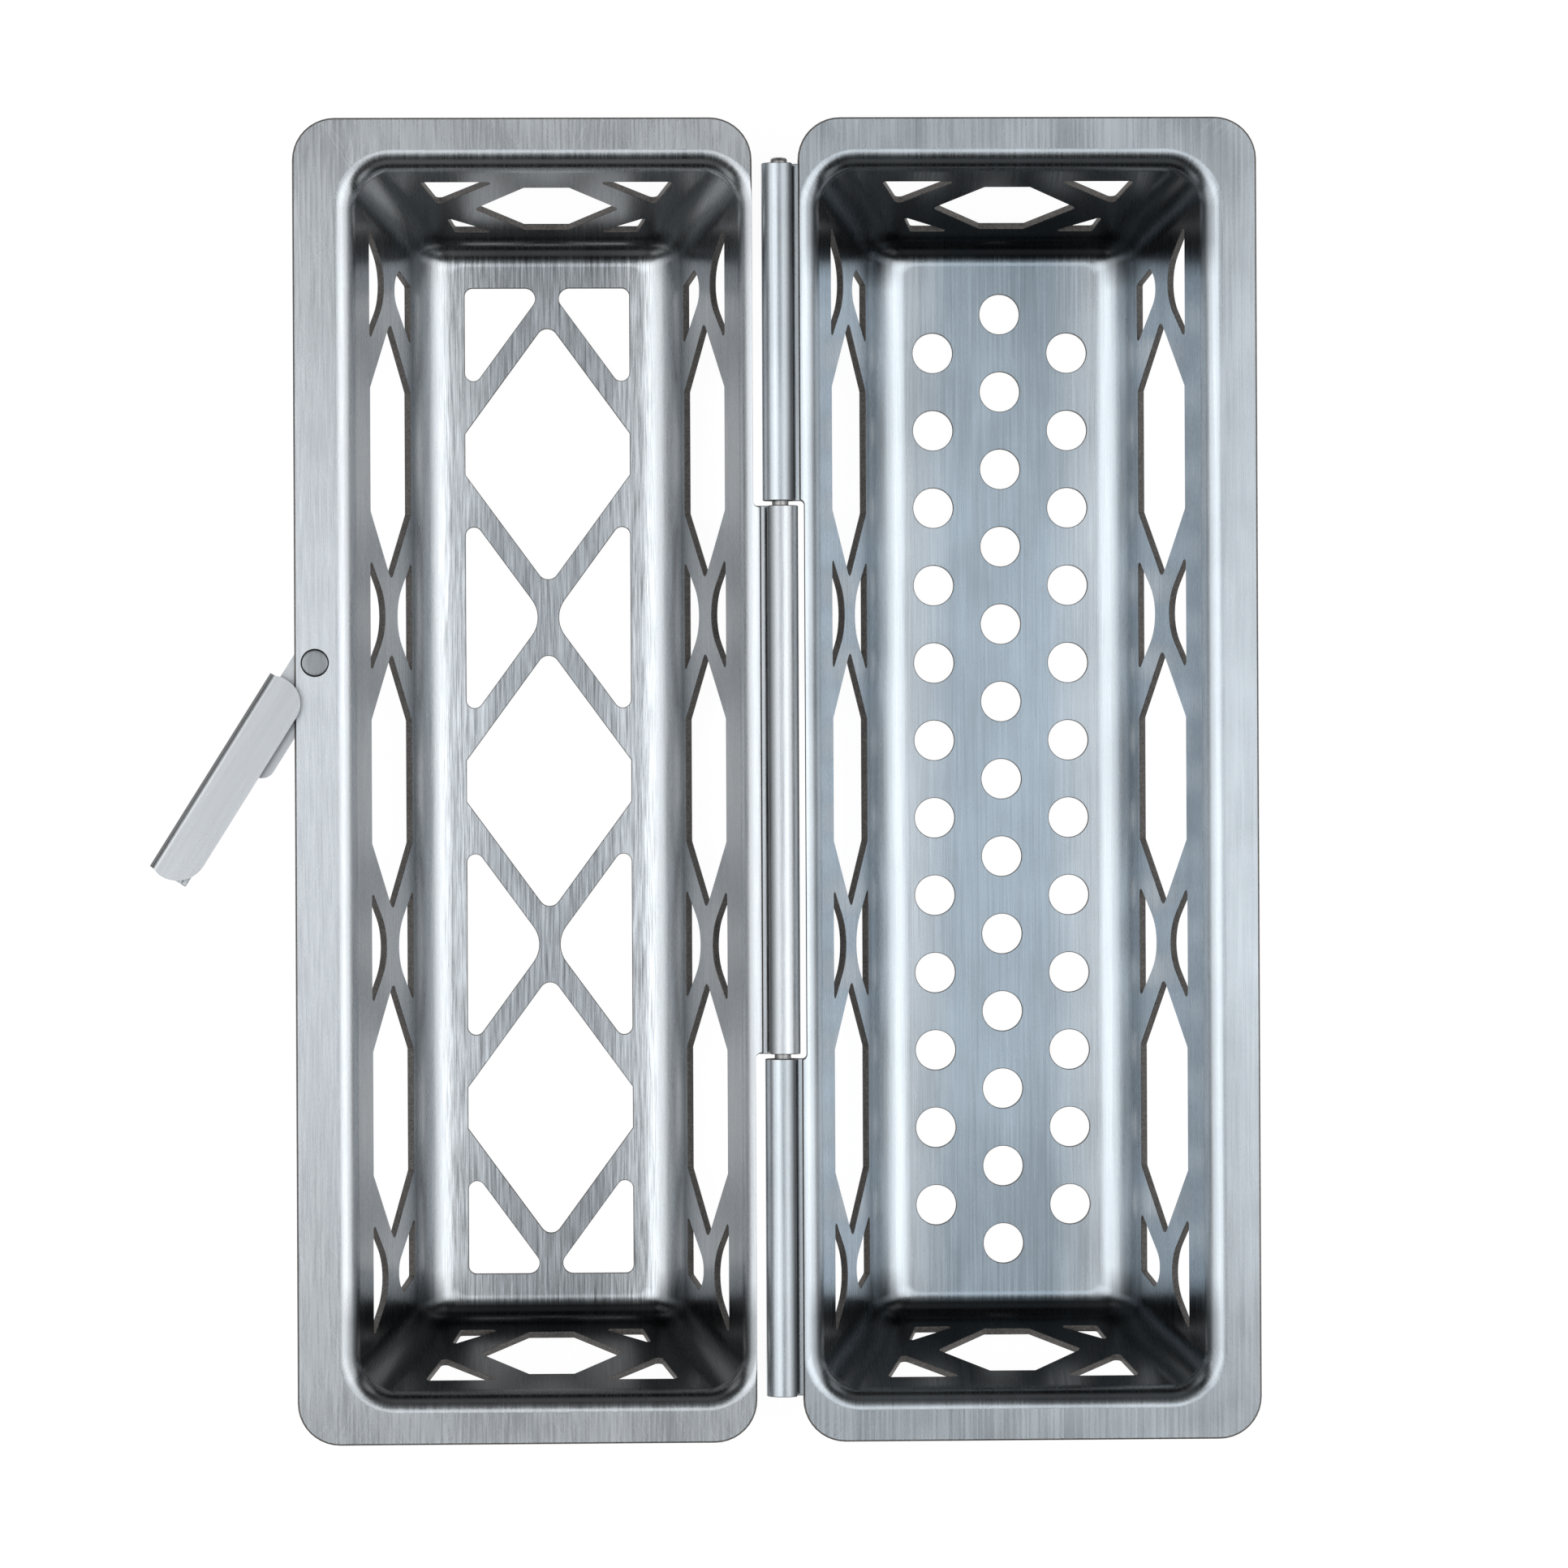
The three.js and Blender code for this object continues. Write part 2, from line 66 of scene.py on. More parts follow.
# The radius of the cavity's corners seen from above, at four heights.
PLAN_CORNER = SimpleNamespace(rim=11, wall_top=6.9, wall_foot=4.6, floor=1.8)
BEND_STEPS = 12
CORNER_STEPS = 12
ROUND_STEPS = 48
ARC_STEP = math.radians(9)
# How far cut edges are broken, and how far down the break of the rim's upper edge reaches.
EDGE_BREAK = 0.13
RIM_BREAK = 0.36

# The hinge: its axis over the rim plane, the rolled sheet, where the knuckles meet and end, and the pin.
HINGE_LIFT = 0.15
KNUCKLE_INNER = 2.05
KNUCKLE_OUTER = KNUCKLE_INNER + SHEET
NECK = 1.5
FREE_END = math.radians(45)
JOINT_Y = 52.15
JOINT_GAP = 0.9
KNUCKLE_END = 116.2
NOTCH_RADIUS = 0.8
BASE_FREE_EDGE = 5.1
LID_FREE_EDGE = 4.5
PIN_RADIUS = 1.6
PIN_TOP = 117.4

# Wall windows, measured along the wall and up its slope from the middle of the windows.
# Corners given as three numbers are x, y and radius.
SIDE_PITCH = 63
SIDE_HEXAGON = SimpleNamespace(middle=0, tip=24.55, flat=11.65, half=9.95, tip_radius=1)
SIDE_TRIANGLE = SimpleNamespace(base=10.75, edge=10.2, apex=0.2, base_radius=0.5, apex_radius=8)
SIDE_TRIANGLE_CUT = SimpleNamespace(top=0.6, side=3.3, end=4.6, apex_radius=4.4)
END_HEXAGON = SimpleNamespace(middle=-1.8, tip=13.65, flat=4.25, half=9.35, tip_radius=0.8)
END_TRIANGLE_OVER = [(10.1, 10.1, 0.4), (23.9, 10.1, 0.6), (20.7, 0.2, 0.9)]
END_TRIANGLE_UNDER = [(19.1, -5.9, 0.4), (17.5, -12.3, 0.6), (10.1, -12.3, 0.4)]
HEXAGON_CORNER = 0.15

# Floor windows of the base and round holes of the lid.
FLOOR_WINDOW = SimpleNamespace(
    pitch=63.2, half=15.9, flat=3.97, slope=1.364, strut=4.06, end=95.25,
    corner_radius=0.2, tip_radius=2.1, strut_radius=1.6, waist_radius=5.8, end_radius=1.5, end_tip_radius=2)
HOLE_PITCH = 15
HOLE_ROW = 12.99
HOLE_RADIUS = 3.85
MIDDLE_HOLES = 13

# Rivet and latch. The latch's own u runs along its fold and v across it, from one end of the fold.
RIVET_X = -87.8
RIVET_Y = 22.4
RIVET_HEAD = 2.46
RIVET_SHANK = 1.7
RIVET_RING = 0.3
RIVET_TAIL = 4
RIVET_SINK = 1.15
LATCH_SHEET = 1
LATCH_LENGTH = 42.7
LATCH_TOP = 3
LATCH_FOOT = -3.1
LATCH_FOLD = 1.4
LATCH_TOP_WIDTH = 8.6
LATCH_FOOT_WIDTH = 7.6
LATCH_PAD_WIDTH = 10.2
LATCH_PAD_LENGTH = 17
LATCH_LIP_START = 21
LATCH_LIP = 0.5
LATCH_ANGLE = math.radians(32.2)
PIVOT_U, PIVOT_V, PIVOT_RADIUS = -6, 6, 4.2

# How closely a face follows the sheet's own normal when it is skin, and when it is a cut's side wall.
SKIN_AGREES = 0.93
CUT_AGREES = 0.35

HINGE_X = next(j for j in frame["joints"] if j["name"] == "lid_hinge")["pos_m"][0] * 1000
RIM_Z = DEPTH + SHEET

random.seed(11)


# ---------- outlines ----------

def arc(x, y, radius, start, end):
    """Points of an arc about (x, y)."""
    steps = max(2, math.ceil(abs(end - start) / ARC_STEP))
    angles = np.linspace(start, end, steps + 1)
    return [(x + radius * math.cos(a), y + radius * math.sin(a)) for a in angles]


def circle(x, y, radius):
    return [(x + radius * math.cos(2 * math.pi * i / ROUND_STEPS),
             y + radius * math.sin(2 * math.pi * i / ROUND_STEPS)) for i in range(ROUND_STEPS)]


def rounded(corners):
    """Points of a closed outline whose corners are given as (x, y, radius)."""
    points = []
    for i, (x, y, radius) in enumerate(corners):
        corner = Vector((x, y))
        if not radius:
            points.append(corner)
            continue
        back = (Vector(corners[i - 1][:2]) - corner).normalized()
        on = (Vector(corners[(i + 1) % len(corners)][:2]) - corner).normalized()
        half = math.acos(max(-1, min(1, back.dot(on)))) / 2
        sense = -math.copysign(1, back.cross(on))
        centre = corner + (back + on).normalized() * radius / math.sin(half)
        start = corner + back * radius / math.tan(half) - centre
        turn = math.pi - 2 * half
        steps = max(2, math.ceil(turn / ARC_STEP))
        for step in range(steps + 1):
            points.append(centre + Matrix.Rotation(sense * turn * step / steps, 2) @ start)
    return [tuple(p) for i, p in enumerate(points) if (p - points[i - 1]).length > 1e-3]


def counter_clockwise(points):
    p = np.array(points)
    q = np.roll(p, -1, axis=0)
    area = (p[:, 0] * q[:, 1] - q[:, 0] * p[:, 1]).sum()
    return points if area > 0 else points[::-1]


def grown(points, distance):
    """A counter-clockwise outline moved outwards."""
    p = np.array(points)
    along = np.roll(p, -1, axis=0) - p
    along /= np.linalg.norm(along, axis=1)[:, None]
    after = np.stack([along[:, 1], -along[:, 0]], axis=1)
    before = np.roll(after, 1, axis=0)
    share = 1 + (after * before).sum(axis=1)
    return p + distance * (after + before) / np.maximum(share, 0.3)[:, None]


# ---------- solids ----------

def new_solid(name, vertices, faces):
    mesh = bpy.data.meshes.new(name)
    mesh.from_pydata([tuple(v) for v in vertices], [], faces)
    made = bpy.data.objects.new(name, mesh)
    bpy.context.scene.collection.objects.link(made)
    return made


def stack(rings):
    """Vertices and faces of a closed solid over stacked rings, each seen counter-clockwise from its top."""
    count = len(rings[0])
    vertices = np.concatenate(rings)
    faces = [tuple(range(count))[::-1]]
    for level in range(len(rings) - 1):
        for i in range(count):
            a = level * count + i
            b = level * count + (i + 1) % count
            faces.append((a, b, b + count, a + count))
    faces.append(tuple(range(len(vertices) - count, len(vertices))))
    return vertices, faces


def prism(outline, stations, placement=Matrix.Identity(4)):
    """A solid over an outline, which each (height, growth) station moves outwards by its growth."""
    outline = counter_clockwise(outline)
    turn = np.array(placement.to_3x3())
    shift = np.array(placement.translation)
    rings = []
    for height, growth in stations:
        flat = grown(outline, growth)
        ring = np.column_stack([flat, np.full(len(flat), height)])
        rings.append(ring @ turn.T + shift)
    return stack(rings)


def gathered(name, parts):
    """One object from several solids given as (vertices, faces)."""
    vertices = []
    faces = []
    for points, polygons in parts:
        start = len(vertices)
        vertices.extend(points)
        faces.extend(tuple(start + i for i in polygon) for polygon in polygons)
    return new_solid(name, vertices, faces)


def plate(name, outline, low, high):
    """A straight prism from height low to height high."""
    return gathered(name, [prism(outline, [(low, 0), (high, 0)])])


def through_sheet(low, high):
    """Stations of a cutter or a blank that breaks the edges where it meets a sheet's two faces."""
    over = 0.4
    return [
        (low - over, EDGE_BREAK + over),
        (low + EDGE_BREAK, 0),
        (high - EDGE_BREAK, 0),
        (high + over, EDGE_BREAK + over),
    ]


def settle(thing):
    """Applies the modifiers of an object."""
    graph = bpy.context.evaluated_depsgraph_get()
    mesh = bpy.data.meshes.new_from_object(thing.evaluated_get(graph))
    thing.modifiers.clear()
    mesh.materials.clear()
    thing.data = mesh


def combine(thing, tool, operation):
    modifier = thing.modifiers.new("combine", "BOOLEAN")
    modifier.operation = operation
    modifier.solver = "MANIFOLD"
    modifier.object = tool
    settle(thing)
    bpy.data.objects.remove(tool)


# ---------- the pressed skin ----------

def wall_tilt(profile):
    """The tilt from the vertical of the normal of a wall's straight stretch between its two bends."""
    bends = RIM_BEND + profile.floor_bend
    across = profile.rim - profile.floor
    return math.asin(bends / math.hypot(across, DEPTH - bends)) + math.atan2(DEPTH - bends, across)


def wall_top(profile):
    return -RIM_BEND * (1 - math.cos(wall_tilt(profile)))


def wall_foot(profile):
    return -DEPTH + profile.floor_bend * (1 - math.cos(wall_tilt(profile)))


def wall_at(profile, z):
    """How far a cavity wall stands from the cavity centre at height z, and its normal's tilt."""
    z = np.clip(np.asarray(z, float), -DEPTH, 0)
    tilt = wall_tilt(profile)
    top, foot = wall_top(profile), wall_foot(profile)
    rim_angle = np.arccos(np.clip(1 + z / RIM_BEND, -1, 1))
    floor_angle = np.arccos(np.clip(1 - (z + DEPTH) / profile.floor_bend, -1, 1))
    straight = profile.rim - RIM_BEND * math.sin(tilt) - (top - z) / math.tan(tilt)
    reach = np.where(z > top, profile.rim - RIM_BEND * np.sin(rim_angle), straight)
    reach = np.where(z < foot, profile.floor + profile.floor_bend * np.sin(floor_angle), reach)
    return reach, np.where(z > top, rim_angle, np.where(z < foot, floor_angle, tilt))


def plan_corner(z):
    """The cavity's corner radius in plan at height z."""
    z = np.asarray(z, float)
    top, foot = wall_top(SIDE), wall_foot(SIDE)
    reach = wall_at(SIDE, z)[0]
    upper = PLAN_CORNER.rim - SIDE.rim + reach
    middle = np.interp(z, [foot, top], [PLAN_CORNER.wall_foot, PLAN_CORNER.wall_top])
    rise = (reach - SIDE.floor) / (wall_at(SIDE, foot)[0] - SIDE.floor)
    lower = PLAN_CORNER.floor + (PLAN_CORNER.wall_foot - PLAN_CORNER.floor) * rise
    return np.where(z > top, upper, np.where(z > foot, middle, lower))


def corner_ring(point):
    """One counter-clockwise ring of four rounded corners about the cavity centre."""
    ring = []
    for quarter in range(4):
        right = 1 if quarter in (0, 3) else -1
        far = 1 if quarter < 2 else -1
        for step in range(CORNER_STEPS + 1):
            ring.append(point(right, far, (quarter + step / CORNER_STEPS) * math.pi / 2))
    return np.array(ring, float)


def skin_ring(z, offset):
    """The ring of the pressed skin at height z; offset 0 is the inner face, SHEET the outer face."""
    side, side_tilt = wall_at(SIDE, z)
    end, end_tilt = wall_at(END, z)
    corner = plan_corner(z)

    def point(right, far, around):
        tilt = side_tilt + (end_tilt - side_tilt) * math.sin(around) ** 2
        out = corner + offset * math.sin(tilt)
        return (
            CAVITY_X + right * (side - corner) + out * math.cos(around),
            far * (end - corner) + out * math.sin(around),
            z - offset * math.cos(tilt),
        )

    return corner_ring(point)


def blank_ring(z):
    """The ring of the uncut blank, which reaches BLANK past the rim all round."""
    return corner_ring(lambda right, far, around: (
        CAVITY_X + right * (BASE_EDGE - CAVITY_X) + BLANK * math.cos(around),
        far * LENGTH / 2 + BLANK * math.sin(around),
        z,
    ))


def pressed_tray(name):
    """A tray before anything is cut: its pressed skin and an oversize flat blank round it."""
    heights = []
    for profile in (SIDE, END):
        for tilt in np.linspace(0, wall_tilt(profile), BEND_STEPS + 1):
            heights.append(-RIM_BEND * (1 - math.cos(tilt)))
            heights.append(-DEPTH + profile.floor_bend * (1 - math.cos(tilt)))
    heights = sorted({round(z, 3) for z in heights}, reverse=True)
    rings = [skin_ring(z, SHEET) for z in reversed(heights)]
    rings += [blank_ring(-SHEET), blank_ring(0)]
    rings += [skin_ring(z, 0) for z in heights]
    return new_solid(name, *stack(rings))


# ---------- rim and knuckles ----------

def rim_outline(far_edge, free_edge, knuckle, knuckle_in_middle):
    """The rim seen from above, cut back to free_edge where it has no knuckle."""
    half = LENGTH / 2
    start = CAVITY_X - SIDE.rim
    outer, inner = (free_edge, start) if knuckle_in_middle else (start, free_edge)
    return rounded([
        (far_edge, -half, RIM_CORNER),
        (far_edge, half, RIM_CORNER),
        (outer, half, RIM_CORNER),
        (outer, knuckle, NOTCH_RADIUS if knuckle_in_middle else 0),
        (inner, knuckle, 0 if knuckle_in_middle else NOTCH_RADIUS),
        (inner, -knuckle, 0 if knuckle_in_middle else NOTCH_RADIUS),
        (outer, -knuckle, NOTCH_RADIUS if knuckle_in_middle else 0),
        (outer, -half, RIM_CORNER),
    ])


def rim_blank(outline):
    """What is kept of the tray's blank: its rim outline with broken edges, and all that hangs under it."""
    knee = -0.4 * RIM_BREAK
    drawn_in = -0.35 * RIM_BREAK
    over = 0.2
    stations = [
        (-DEPTH - 5, -EDGE_BREAK),
        (-SHEET, -EDGE_BREAK),
        (-SHEET + EDGE_BREAK, 0),
        (-RIM_BREAK, 0),
        (knee, drawn_in),
        (over, drawn_in - 1.4 * (over - knee)),
    ]
    return gathered("rim_blank", [prism(outline, stations)])


def neck_centre():
    """The centre of the bend that leads from the rim down into the knuckle, as (x, z)."""
    drop = NECK + HINGE_LIFT
    return math.sqrt((KNUCKLE_INNER + NECK) ** 2 - drop ** 2), -NECK


def neck_meet():
    """The angle about the hinge axis at which that bend runs over into the roll."""
    return -math.asin((NECK + HINGE_LIFT) / (KNUCKLE_INNER + NECK))


def knuckle_section():
    """The flange dips under the pin, wraps round the far side and over the top, and stops short."""
    start = CAVITY_X - SIDE.rim
    tongue = start + 0.4
    neck_x, neck_z = neck_centre()
    meet = neck_meet()
    end = FREE_END - 2 * math.pi
    return [
        (tongue, -0.3), (start, -0.3), (start, 0),
        *arc(neck_x, neck_z, NECK, math.pi / 2, math.pi + meet),
        *arc(0, HINGE_LIFT, KNUCKLE_INNER, meet, end)[1:],
        *arc(0, HINGE_LIFT, KNUCKLE_OUTER, end, meet),
        *arc(neck_x, neck_z, NECK - SHEET, math.pi + meet, math.pi / 2)[1:],
        (start, -SHEET), (start, -SHEET + 0.3), (tongue, -SHEET + 0.3),
    ]


def knuckle(low, high):
    """A knuckle from low to high along Y. Its prism is laid down, which turns the heights round."""
    lay_down = Matrix.Rotation(math.pi / 2, 4, "X")
    stations = [
        (-high, -EDGE_BREAK),
        (-high + EDGE_BREAK, 0),
        (-low - EDGE_BREAK, 0),
        (-low, -EDGE_BREAK),
    ]
    return gathered("knuckle", [prism(knuckle_section(), stations, lay_down)])


# ---------- windows and holes ----------

def wall_frame(profile, heading):
    """Places wall windows: x along the wall, y up its slope, z out through the sheet."""
    reach, tilt = wall_at(profile, -profile.windows)
    out = Vector((math.cos(heading), math.sin(heading), 0))
    along = Vector((-math.sin(heading), math.cos(heading), 0))
    up_slope = out * math.cos(tilt) + Vector((0, 0, math.sin(tilt)))
    outward = out * math.sin(tilt) - Vector((0, 0, math.cos(tilt)))
    placed = Matrix((along, up_slope, outward)).transposed().to_4x4()
    placed.translation = (CAVITY_X + out.x * reach, out.y * reach, -profile.windows)
    return placed


def hexagon(x, sizes):
    """A hexagon with two tips along x and two flat sides."""
    y, half, flat, tip = sizes.middle, sizes.half, sizes.flat, sizes.tip
    return rounded([
        (x + flat, y - half, HEXAGON_CORNER), (x + tip, y, sizes.tip_radius),
        (x + flat, y + half, HEXAGON_CORNER), (x - flat, y + half, HEXAGON_CORNER),
        (x - tip, y, sizes.tip_radius), (x - flat, y - half, HEXAGON_CORNER),
    ])


def side_wall_windows():
    """Long hexagons in a row, with a pair of blunt triangles over and under each waist."""
    base, edge, apex = SIDE_TRIANGLE.base, SIDE_TRIANGLE.edge, SIDE_TRIANGLE.apex
    corner, blunt = SIDE_TRIANGLE.base_radius, SIDE_TRIANGLE.apex_radius
    cut = SIDE_TRIANGLE_CUT
    outlines = [hexagon(place * SIDE_PITCH, SIDE_HEXAGON) for place in (-1, 0, 1)]
    for place in (-1.5, -0.5, 0.5, 1.5):
        x = place * SIDE_PITCH
        outlines.append(rounded([(x + base, edge, corner), (x, apex, blunt), (x - base, edge, corner)]))
        if abs(place) < 1:
            outlines.append(rounded([
                (x - base, -edge, corner), (x + base, -edge, corner), (x, -apex, blunt)]))
    for end in (-1, 1):
        x = end * 1.5 * SIDE_PITCH
        outlines.append(rounded([
            (x - end * base, -edge, corner), (x + end * cut.top, -edge, corner),
            (x + end * cut.side, -cut.end, corner), (x, -apex, cut.apex_radius),
        ]))
    return outlines


def end_wall_windows():
    """One hexagon in the middle with two triangles on each side of it."""
    outlines = [hexagon(0, END_HEXAGON)]
    for side in (-1, 1):
        for corners in (END_TRIANGLE_OVER, END_TRIANGLE_UNDER):
            outlines.append(rounded([(side * x, y, radius) for x, y, radius in corners]))
    return outlines


def floor_lattice():
    """Three hexagons in a column with triangles filling the spaces between struts."""
    sizes = FLOOR_WINDOW
    pitch, half, flat, slope = sizes.pitch, sizes.half, sizes.flat, sizes.slope
    tip = flat + half * slope
    shift = sizes.strut * math.hypot(1, 1 / slope)
    reach = (half - shift) * slope
    outlines = []
    for place in (-1, 0, 1):
        y = place * pitch
        outlines.append([
            (half, y - flat, sizes.corner_radius), (half, y + flat, sizes.corner_radius),
            (0, y + tip, sizes.tip_radius), (-half, y + flat, sizes.corner_radius),
            (-half, y - flat, sizes.corner_radius), (0, y - tip, sizes.tip_radius),
        ])
    for side in (-1, 1):
        for place in (-0.5, 0.5):
            y = place * pitch
            spread = reach - tip + pitch / 2
            outlines.append([
                (side * half, y - spread, sizes.strut_radius), (side * half, y + spread, sizes.strut_radius),
                (side * (half - spread / slope), y, sizes.waist_radius),
            ])
        for far in (-1, 1):
            outlines.append([
                (side * half, far * sizes.end, sizes.end_radius),
                (side * (shift - (sizes.end - pitch - tip) / slope), far * sizes.end, sizes.end_tip_radius),
                (side * half, far * (pitch + tip - reach), sizes.strut_radius),
            ])
    return [rounded([(CAVITY_X + x, y, r) for x, y, r in corners]) for corners in outlines]


def floor_holes():
    """Three staggered columns of round holes."""
    outlines = []
    for column in (-1, 0, 1):
        count = MIDDLE_HOLES if column == 0 else MIDDLE_HOLES - 1
        for i in range(count):
            y = (i - (count - 1) / 2) * HOLE_PITCH
            outlines.append(circle(CAVITY_X + column * HOLE_ROW, y, HOLE_RADIUS))
    return outlines


def sheet_cutters(floor_outlines):
    """One object that cuts all of a tray's windows and holes."""
    parts = []
    for quarter in range(4):
        on_side = quarter % 2 == 0
        placed = wall_frame(SIDE if on_side else END, quarter * math.pi / 2)
        for outline in side_wall_windows() if on_side else end_wall_windows():
            parts.append(prism(outline, through_sheet(0, SHEET), placed))
    for outline in floor_outlines:
        parts.append(prism(outline, through_sheet(-DEPTH - SHEET, -DEPTH)))
    return gathered("cutters", parts)


# ---------- normals and unrolled coordinates of a tray ----------

def around_corner(points, z):
    """Angle around the cavity's plan corner, distance out from the corner's centre, and its radius."""
    corner = plan_corner(z)
    across = np.maximum(np.abs(points[:, 0] - CAVITY_X) - (wall_at(SIDE, z)[0] - corner), 0)
    along = np.maximum(np.abs(points[:, 1]) - (wall_at(END, z)[0] - corner), 0)
    return np.arctan2(along, np.maximum(across, 1e-9)), np.hypot(across, along), corner


def cavity_normals(points):
    """Upward normals of the pressed skin at points on either face of the sheet."""
    best = np.full(len(points), np.inf)
    tilt = np.zeros(len(points))
    around = np.zeros(len(points))
    for offset in (0, SHEET):
        z = points[:, 2].copy()
        for _ in range(6):
            angle, out, corner = around_corner(points, z)
            side, end = wall_at(SIDE, z)[1], wall_at(END, z)[1]
            lean = side + (end - side) * np.sin(angle) ** 2
            z = np.clip(points[:, 2] + offset * np.cos(lean), -DEPTH, 0)
        error = np.abs(out - corner - offset * np.sin(lean))
        error = np.where((lean < 1e-6), np.abs(points[:, 2] + offset - z), error)
        better = error < best
        best = np.where(better, error, best)
        tilt = np.where(better, lean, tilt)
        around = np.where(better, angle, around)
    right = np.where(points[:, 0] > CAVITY_X, -1, 1)
    far = np.where(points[:, 1] > 0, -1, 1)
    return np.column_stack([
        right * np.sin(tilt) * np.cos(around), far * np.sin(tilt) * np.sin(around), np.cos(tilt)])


def knuckle_normals(points):
    """Normals of the rolled sheet, on the side that faces the pin."""
    x, z = points[:, 0], points[:, 2]
    neck_x, neck_z = neck_centre()
    angle = np.arctan2(z - neck_z, x - neck_x)
    distance = np.hypot(x - neck_x, z - neck_z)
    past_rim = (angle > math.pi / 2 - 0.01) & (angle < math.pi + neck_meet() + 0.01)
    in_neck = past_rim & (distance < NECK + 0.05)
    flat = x > neck_x
    roll = np.arctan2(z - HINGE_LIFT, x)
    across = np.where(flat, 0, np.where(in_neck, np.cos(angle), -np.cos(roll)))
    up = np.where(flat, 1, np.where(in_neck, np.sin(angle), -np.sin(roll)))
    return np.column_stack([across, np.zeros(len(points)), up])


def sheet_normals(points):
    rolled = points[:, 0] < CAVITY_X - SIDE.rim - 1e-4
    return np.where(rolled[:, None], knuckle_normals(points), cavity_normals(points))


def extra_length(profile, z):
    """How much longer the way up the wall from the floor is than its run across."""
    heights = np.linspace(-DEPTH, 0, 400)
    reach = wall_at(profile, heights)[0]
    steps = np.hypot(np.diff(reach), np.diff(heights)) - np.diff(reach)
    return np.interp(z, heights, np.concatenate([[0], np.cumsum(steps)]))


def unrolled(points):
    """Coordinates over the flat sheet before it was pressed and rolled, in millimetres."""
    z = np.clip(points[:, 2], -DEPTH, 0)
    angle = around_corner(points, z)[0]
    x = points[:, 0] - CAVITY_X
    u = x + np.sign(x) * extra_length(SIDE, z) * np.cos(angle) ** 2
    v = points[:, 1] + np.sign(points[:, 1]) * extra_length(END, z) * np.sin(angle) ** 2
    start = CAVITY_X - SIDE.rim
    roll = np.arctan2(points[:, 2] - HINGE_LIFT, points[:, 0])
    round_pin = np.where(roll > FREE_END - 0.02, 2 * math.pi - roll, -roll)
    rolled_u = start - CAVITY_X - extra_length(SIDE, 0.0) - KNUCKLE_OUTER * round_pin
    rolled = points[:, 0] < start - 1e-4
    return np.where(rolled, rolled_u, u), np.where(rolled, points[:, 1], v)


# The unrolled coordinate of the top of a knuckle.
ROLL_TOP_U = float(unrolled(np.array([[0.0, 0.0, HINGE_LIFT + KNUCKLE_OUTER]]))[0][0])


def corner_normals(mesh, at_vertex, facing, agree):
    """A shading normal for each face corner: the skin's own on skin, a mean round a cut's side wall.

    agree is how far each face's normal and the skin's normal there point the same way.
    """
    is_skin = np.abs(agree) > SKIN_AGREES
    is_wall = np.abs(agree) < CUT_AGREES
    faces = list(zip(mesh.polygons, is_skin, is_wall, np.sign(agree), facing))
    skin_at = np.zeros((len(at_vertex), 3))
    cut_at = np.zeros((len(at_vertex), 3))
    for polygon, skin, wall, sign, normal in faces:
        for i in polygon.vertices:
            if skin:
                skin_at[i] = at_vertex[i] * sign
            elif wall:
                cut_at[i] += normal * polygon.area
    loops = np.zeros((len(mesh.loops), 3))
    for polygon, skin, wall, sign, normal in faces:
        for loop in polygon.loop_indices:
            i = mesh.loops[loop].vertex_index
            if skin:
                chosen = at_vertex[i] * sign
            elif skin_at[i].any() and not wall:
                chosen = skin_at[i]
            else:
                length = np.linalg.norm(cut_at[i])
                chosen = cut_at[i] / length if length > 0 else normal
                if chosen @ normal < (0.9 if wall else 0.2):
                    chosen = normal
            loops[loop] = chosen
    return loops


def store_unrolled(mesh, points, centres, facing):
    """Unrolled coordinates for each face corner, but plain X and Y on the flat rim."""
    u, v = unrolled(points)
    index = np.array([loop.vertex_index for loop in mesh.loops])
    flat_rim = (np.abs(facing[:, 2]) > 0.999) & (centres[:, 2] > -SHEET - 0.01)
    flat_rim = np.repeat(flat_rim, [polygon.loop_total for polygon in mesh.polygons])
    u = np.where(flat_rim, points[index, 0] - CAVITY_X, u[index])
    v = np.where(flat_rim, points[index, 1], v[index])
    layer = mesh.uv_layers.new(name="unrolled")
    layer.data.foreach_set("uv", np.column_stack([u, v]).ravel())


def store_formed(mesh, at_vertex):
    """How far each point's sheet is bent or sloping: 0 where it lies flat, 1 from a slight slope on."""
    formed = mesh.attributes.new("formed", "FLOAT", "POINT")
    slope = np.clip((1 - np.abs(at_vertex[:, 2])) / 0.08, 0, 1)
    formed.data.foreach_set("value", slope.astype(np.float32))


